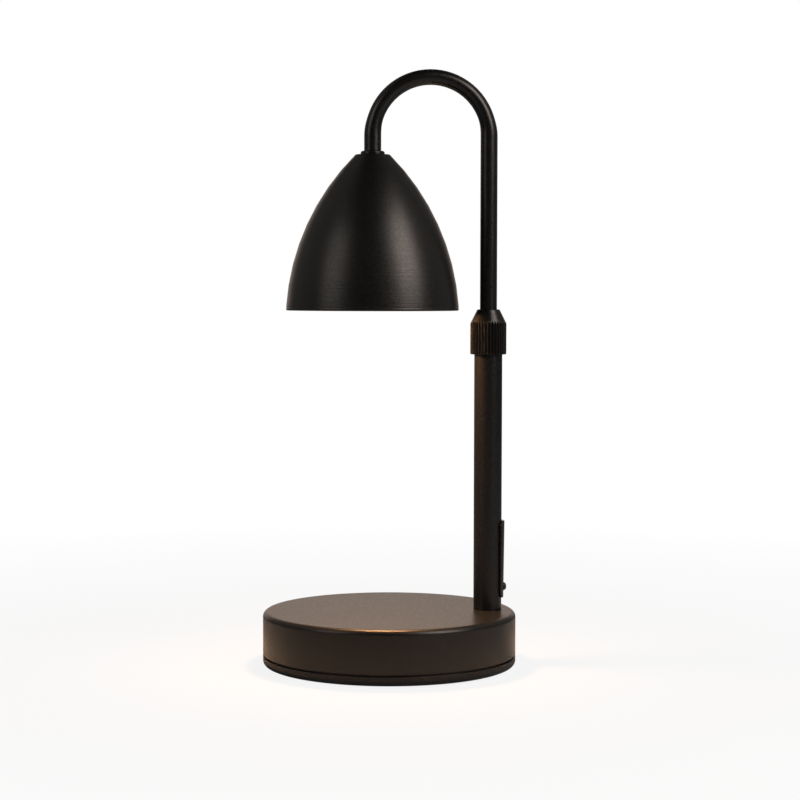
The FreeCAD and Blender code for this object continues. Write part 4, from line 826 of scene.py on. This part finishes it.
shade_low, shade_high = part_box("shade")
shade_radius = (shade_high.y - shade_low.y) / 2
crown_radius = 9.5 * mm
shade_bore = 4.0 * mm
shade_wall = 0.9 * mm
shade_bead = 0.9 * mm
side_radius = 130.05 * mm
hem_line = 1.1 * mm
hem_depth = 0.12 * mm
spun_coat = black_coat("spun_coat", 0.32, (0.8 * mm, 0.06 * mm, (0.03, 0.03, 1.0)))


def side_centre(rim, rim_height, crown, crown_height, radius):
    """The centre of the arc through two points of a bell's side, bulging outwards."""
    chord = Vector((crown - rim, crown_height - rim_height))
    middle = Vector((rim + crown, rim_height + crown_height)) / 2
    inward = Vector((-chord.y, chord.x)).normalized()
    return middle + inward * math.sqrt(radius ** 2 - chord.length_squared / 4)


def side_point(centre, radius, height):
    return centre.x + math.sqrt(radius ** 2 - (height - centre.y) ** 2)


bead_height = shade_low.z + shade_bead
middle = side_centre(shade_radius, bead_height, crown_radius, shade_high.z, side_radius)
inner_radius = side_radius - shade_wall
shade_under = shade_high.z - shade_wall
hem_top = bead_height + hem_line
bead_top = bead_height + shade_bead
piece("spun_shade", turned(
    (shade_bore, shade_under),
    (side_point(middle, inner_radius, shade_under), shade_under),
    (side_point(middle, inner_radius, bead_top), bead_top, (middle.x, middle.y)),
    (shade_radius - shade_bead * 2, bead_height),
    (shade_radius - shade_bead, shade_low.z, (shade_radius - shade_bead, bead_height)),
    (shade_radius, bead_height, (shade_radius - shade_bead, bead_height)),
    (side_point(middle, side_radius, hem_top) - hem_depth, hem_top, hem_depth),
    (side_point(middle, side_radius, hem_top + hem_depth * 2), hem_top + hem_depth * 2),
    (crown_radius, shade_high.z, (middle.x, middle.y)),
    (shade_bore, shade_high.z),
    x=lamp_x, steps=wide_steps), spun_coat, "shade")


# ---------------------------------------------------------------------------------- neck, bracket and nut
# A hollow threaded nipple joins arm, ring and shade. Its nut and washer hold a steel strap, bent like a
# hat, up under the crown, and the lampholder is screwed to the strap's feet.

nipple_low, nipple_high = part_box("neck_nipple")
nipple_radius = (nipple_high.y - nipple_low.y) / 2
nipple_bore = 2.5 * mm
nipple_pitch = 1.0 * mm

nipple = threaded(nipple_radius, nipple_pitch, nipple_low.z, nipple_high.z)
nipple = placed(cut(nipple, cylinder(nipple_bore, nipple_low.z - mm, nipple_high.z + mm)), (lamp_x, 0, 0))
piece("threaded_nipple", nipple, zinc_plate, "neck_nipple")
dress(zinc_plate, "neck_washer", "neck_nut")

strap_low, strap_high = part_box("holder_bracket")
strap_thickness = 1.0 * mm
strap_bend = 1.2 * mm
strap_span = (strap_high.x - strap_low.x) / 2
strap_half_width = (strap_high.y - strap_low.y) / 2
strap_web = 7.0 * mm
strap_shoulder = strap_low.z + 7.5 * mm
strap_foot = strap_span - 7.5 * mm
nipple_way = 4.0 * mm
holder_screw_place = 9.0 * mm
strap_screw_hole = 1.55 * mm

strap = outline(
    (strap_foot, strap_low.z), (strap_span, strap_low.z, strap_bend),
    (strap_span, strap_shoulder, strap_bend), (strap_web, strap_high.z, strap_bend),
    (-strap_web, strap_high.z, strap_bend), (-strap_span, strap_shoulder, strap_bend),
    (-strap_span, strap_low.z, strap_bend), (-strap_foot, strap_low.z), closed=False)
strip = bmesh.ops.extrude_edge_only(strap, edges=strap.edges[:])["geom"]
bmesh.ops.translate(strap, verts=strap.verts, vec=(lamp_x, -strap_half_width, 0))
bmesh.ops.translate(strap, verts=verts_in(strip), vec=(0, strap_half_width * 2, 0))
bmesh.ops.recalc_face_normals(strap, faces=strap.faces)
bmesh.ops.solidify(strap, geom=strap.faces[:], thickness=strap_thickness)
strap_holes = [cylinder(nipple_way, strap_high.z - through, strap_high.z + through, x=lamp_x)]
for side in (-1, 1):
    strap_holes.append(cylinder(strap_screw_hole, strap_low.z - mm, strap_low.z + through,
                                x=lamp_x + holder_screw_place * side, steps=32))
piece("bent_strap", cut(strap, *strap_holes), zinc_plate, "holder_bracket")


# ---------------------------------------------------------------------------------- twist-lock lampholder
# An unglazed ceramic body and face plate with two keyhole slots, brass contacts inside, and two
# cross-head screws up into the strap.

ceramic = material(
    "ceramic", colour=(0.6 * mm, 5.0, (0.68, 0.65, 0.57), (0.78, 0.75, 0.68)),
    roughness=(0.9 * mm, 0.55, 0.72), bumps=[(0.3 * mm, 0.015 * mm)],
    Subsurface_Weight=0.1, Subsurface_Scale=0.001)

dress(ceramic, "lampholder_body", "lampholder_face")
dress(brass, "lampholder_contacts")

holder_screw_low, holder_screw_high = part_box("lampholder_screws")
holder_screw_head = 2.7 * mm
holder_screw_head_height = 1.6 * mm
holder_screw_radius = 1.5 * mm
holder_screw_pitch = 0.5 * mm
holder_screw_seat = holder_screw_low.z + holder_screw_head_height
holder_screws = join(*[
    placed(cross_screw(holder_screw_head, holder_screw_head_height, holder_screw_radius,
                       holder_screw_high.z - holder_screw_seat, holder_screw_pitch),
           (lamp_x + holder_screw_place * side, 0, holder_screw_seat), upside_down)
    for side in (-1, 1)
])
piece("holder_cross_screws", holder_screws, zinc_plate, "lampholder_screws")


# ------------------------------------------------------------------------------------------- halogen lamp
# A twist-lock halogen lamp: a ceramic base with two headed pins, a pressed glass bowl silvered in small
# facets, a flat front glass, and a quartz capsule with a coiled tungsten filament that glows warm.

lamp_low, lamp_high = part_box("lamp_reflector")
lamp_radius = (lamp_high.x - lamp_low.x) / 2
lamp_wall = 1.4 * mm
rim_top = lamp_low.z + 4.2 * mm
lens_low, lens_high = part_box("lamp_lens")
bowl_neck = 12.0 * mm
bowl_side_radius = 46.0 * mm
bowl_flank = lamp_radius - lamp_wall / 2
stem_way = 6.1 * mm
facet_count = 36
facet_turn = math.tau / facet_count
facet_edge = math.radians(4)
rim_edge = 0.35 * mm

silvered = material(
    "silvered_glass", colour=(5.0 * mm, 2.0, (0.82, 0.78, 0.74), (0.92, 0.89, 0.85)),
    roughness=(2.0 * mm, 0.08, 0.16), bumps=[(1.2 * mm, 0.01 * mm)], Metallic=0.9)

bowl_centre = side_centre(bowl_flank, rim_top, bowl_neck, lamp_high.z, bowl_side_radius)
bowl_inner = bowl_side_radius - lamp_wall
bowl_floor = lamp_high.z - lamp_wall
bowl = turned(
    (stem_way, lamp_high.z), (stem_way, bowl_floor),
    (side_point(bowl_centre, bowl_inner, bowl_floor), bowl_floor),
    (side_point(bowl_centre, bowl_inner, rim_top), rim_top, (bowl_centre.x, bowl_centre.y)),
    (side_point(bowl_centre, bowl_inner, rim_top), lens_high.z), (lamp_radius - lamp_wall, lens_high.z),
    (lamp_radius - lamp_wall, lamp_low.z, rim_edge), (lamp_radius, lamp_low.z, rim_edge),
    (lamp_radius, rim_top), (bowl_flank, rim_top),
    (bowl_neck, lamp_high.z, (bowl_centre.x, bowl_centre.y)),
    steps=facet_count * 4)
for vert in bowl.verts:
    reach = (Vector((vert.co.xy.length, vert.co.z)) - bowl_centre).length
    if abs(reach - bowl_inner) < lamp_wall / 4 and rim_top <= vert.co.z <= bowl_floor:
        off_middle = math.remainder(math.atan2(vert.co.y, vert.co.x), facet_turn)
        vert.co.xy *= math.cos(facet_turn / 2) / math.cos(off_middle)
bmesh.ops.translate(bowl, verts=bowl.verts, vec=(lamp_x, 0, 0))
piece("faceted_bowl", bowl, silvered, "lamp_reflector", sharp=facet_edge)

clear_glass = material(
    "clear_glass", colour=(6.0 * mm, 2.0, (0.95, 0.96, 0.95), (0.99, 0.99, 0.99)),
    roughness=(1.0 * mm, 0.02, 0.07), bumps=[(1.6 * mm, 0.012 * mm)], Transmission_Weight=1.0, IOR=1.48)

lens_radius = (lens_high.x - lens_low.x) / 2
lens_edge = 0.25 * mm
piece("front_glass", turned(
    (0, lens_low.z), (lens_radius, lens_low.z, lens_edge), (lens_radius, lens_high.z, lens_edge),
    (0, lens_high.z), x=lamp_x), clear_glass, "lamp_lens")
dress(clear_glass, "lamp_capsule")
dress(ceramic, "lamp_base")

nickel_plate = material(
    "nickel_plate", colour=(0.9 * mm, 2.0, (0.62, 0.60, 0.56), (0.74, 0.72, 0.68)),
    roughness=(0.5 * mm, 0.2, 0.3), Metallic=1.0)
dress(nickel_plate, "lamp_pins")


def coiled(wire_radius, coil_radius, pitch, turns, steps_per_turn=24, sides=10):
    """A wire wound upwards round the Z axis, capped at both ends."""
    bm = bmesh.new()
    circle = bmesh.ops.create_circle(bm, segments=sides, radius=wire_radius, cap_ends=True)["verts"]
    bmesh.ops.rotate(bm, verts=circle, cent=(0, 0, 0), matrix=Matrix.Rotation(math.pi / 2, 3, "X"))
    bmesh.ops.translate(bm, verts=circle, vec=(coil_radius, 0, 0))
    steps = round(turns * steps_per_turn)
    bmesh.ops.spin(bm, geom=bm.faces[:], cent=(0, 0, 0), axis=(0, 0, 1), dvec=(0, 0, pitch / steps_per_turn),
                   angle=math.tau * steps / steps_per_turn, steps=steps, use_duplicate=False)
    return close(bm)


tungsten = material(
    "glowing_tungsten", colour=(0.2 * mm, 2.0, (0.35, 0.33, 0.31), (0.5, 0.48, 0.45)),
    roughness=(0.1 * mm, 0.3, 0.5), Metallic=1.0,
    Emission_Color=(1.0, 0.62, 0.28, 1.0), Emission_Strength=14.0)

filament_low, filament_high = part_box("lamp_filament")
filament_length = filament_high.x - filament_low.x
filament_wire = 0.16 * mm
filament_coil = 0.9 * mm
filament_turns = 13
support_wire = 0.3 * mm
support_place = 2.7 * mm
filament_height = filament_low.z + filament_coil
filament_pitch = (filament_length - filament_wire * 2) / filament_turns

coil = coiled(filament_wire, filament_coil - filament_wire, filament_pitch, filament_turns, sides=8)
placed(coil, (filament_low.x + filament_wire, 0, filament_height), outwards)
supports = [
    cylinder(support_wire, filament_height + filament_coil - filament_wire, filament_high.z,
             x=lamp_x + support_place * side, steps=16)
    for side in (-1, 1)
]
piece("coiled_filament", join(coil, *supports), tungsten, "lamp_filament")

lamp_colour = (1.0, 0.52, 0.24)
lit_width = lens_radius * 1.8
lit_height = lamp_low.z - 0.3 * mm


def lamp_light(name, watts, spread_angle):
    """Warm light from the whole front glass, downwards, no wider than this angle; it turns with the lamp."""
    light = bpy.data.lights.new(name, "AREA")
    light.shape = "DISK"
    light.size = lit_width
    light.energy = watts
    light.spread = math.radians(spread_angle)
    light.color = lamp_colour
    made = bpy.data.objects.new(name, light)
    made.location = (lamp_x, 0, lit_height)
    made.visible_camera = False
    scene.collection.objects.link(made)
    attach(made, "bulb")


lamp_light("beam", watts=0.25, spread_angle=120)
lamp_light("spill", watts=0.6, spread_angle=180)


# -------------------------------------------------------------------------------------------------- leads
# Two-core heat-proof silicone lead: coiled in the post so that the arm can slide, then up inside the arm
# to the holder, and from the foot of the post to the terminal block.

silicone = material(
    "silicone_cover", colour=(2.5 * mm, 2.0, (0.60, 0.58, 0.52), (0.70, 0.68, 0.62)),
    roughness=(0.8 * mm, 0.5, 0.65), bumps=[(0.4 * mm, 0.012 * mm)],
    Subsurface_Weight=0.1, Subsurface_Scale=0.001)
dress(silicone, "arm_leads", "base_leads")

slack_low, slack_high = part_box("slack_lead")
lead_radius = 0.9 * mm
lead_spacing = 1.9 * mm
slack_radius = (slack_high.x - slack_low.x) / 2 - lead_radius
slack_pitch = 4.4 * mm
slack_height = slack_high.z - slack_low.z
slack_turns = (slack_height - lead_radius * 2 - lead_spacing) / slack_pitch
cores = join(*[
    placed(coiled(lead_radius, slack_radius, slack_pitch, slack_turns),
           (post_x, 0, slack_low.z + lead_radius + lead_spacing * core))
    for core in (0, 1)
])
slack = piece("coiled_lead", cores, silicone, "slack_lead")
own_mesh(slack)
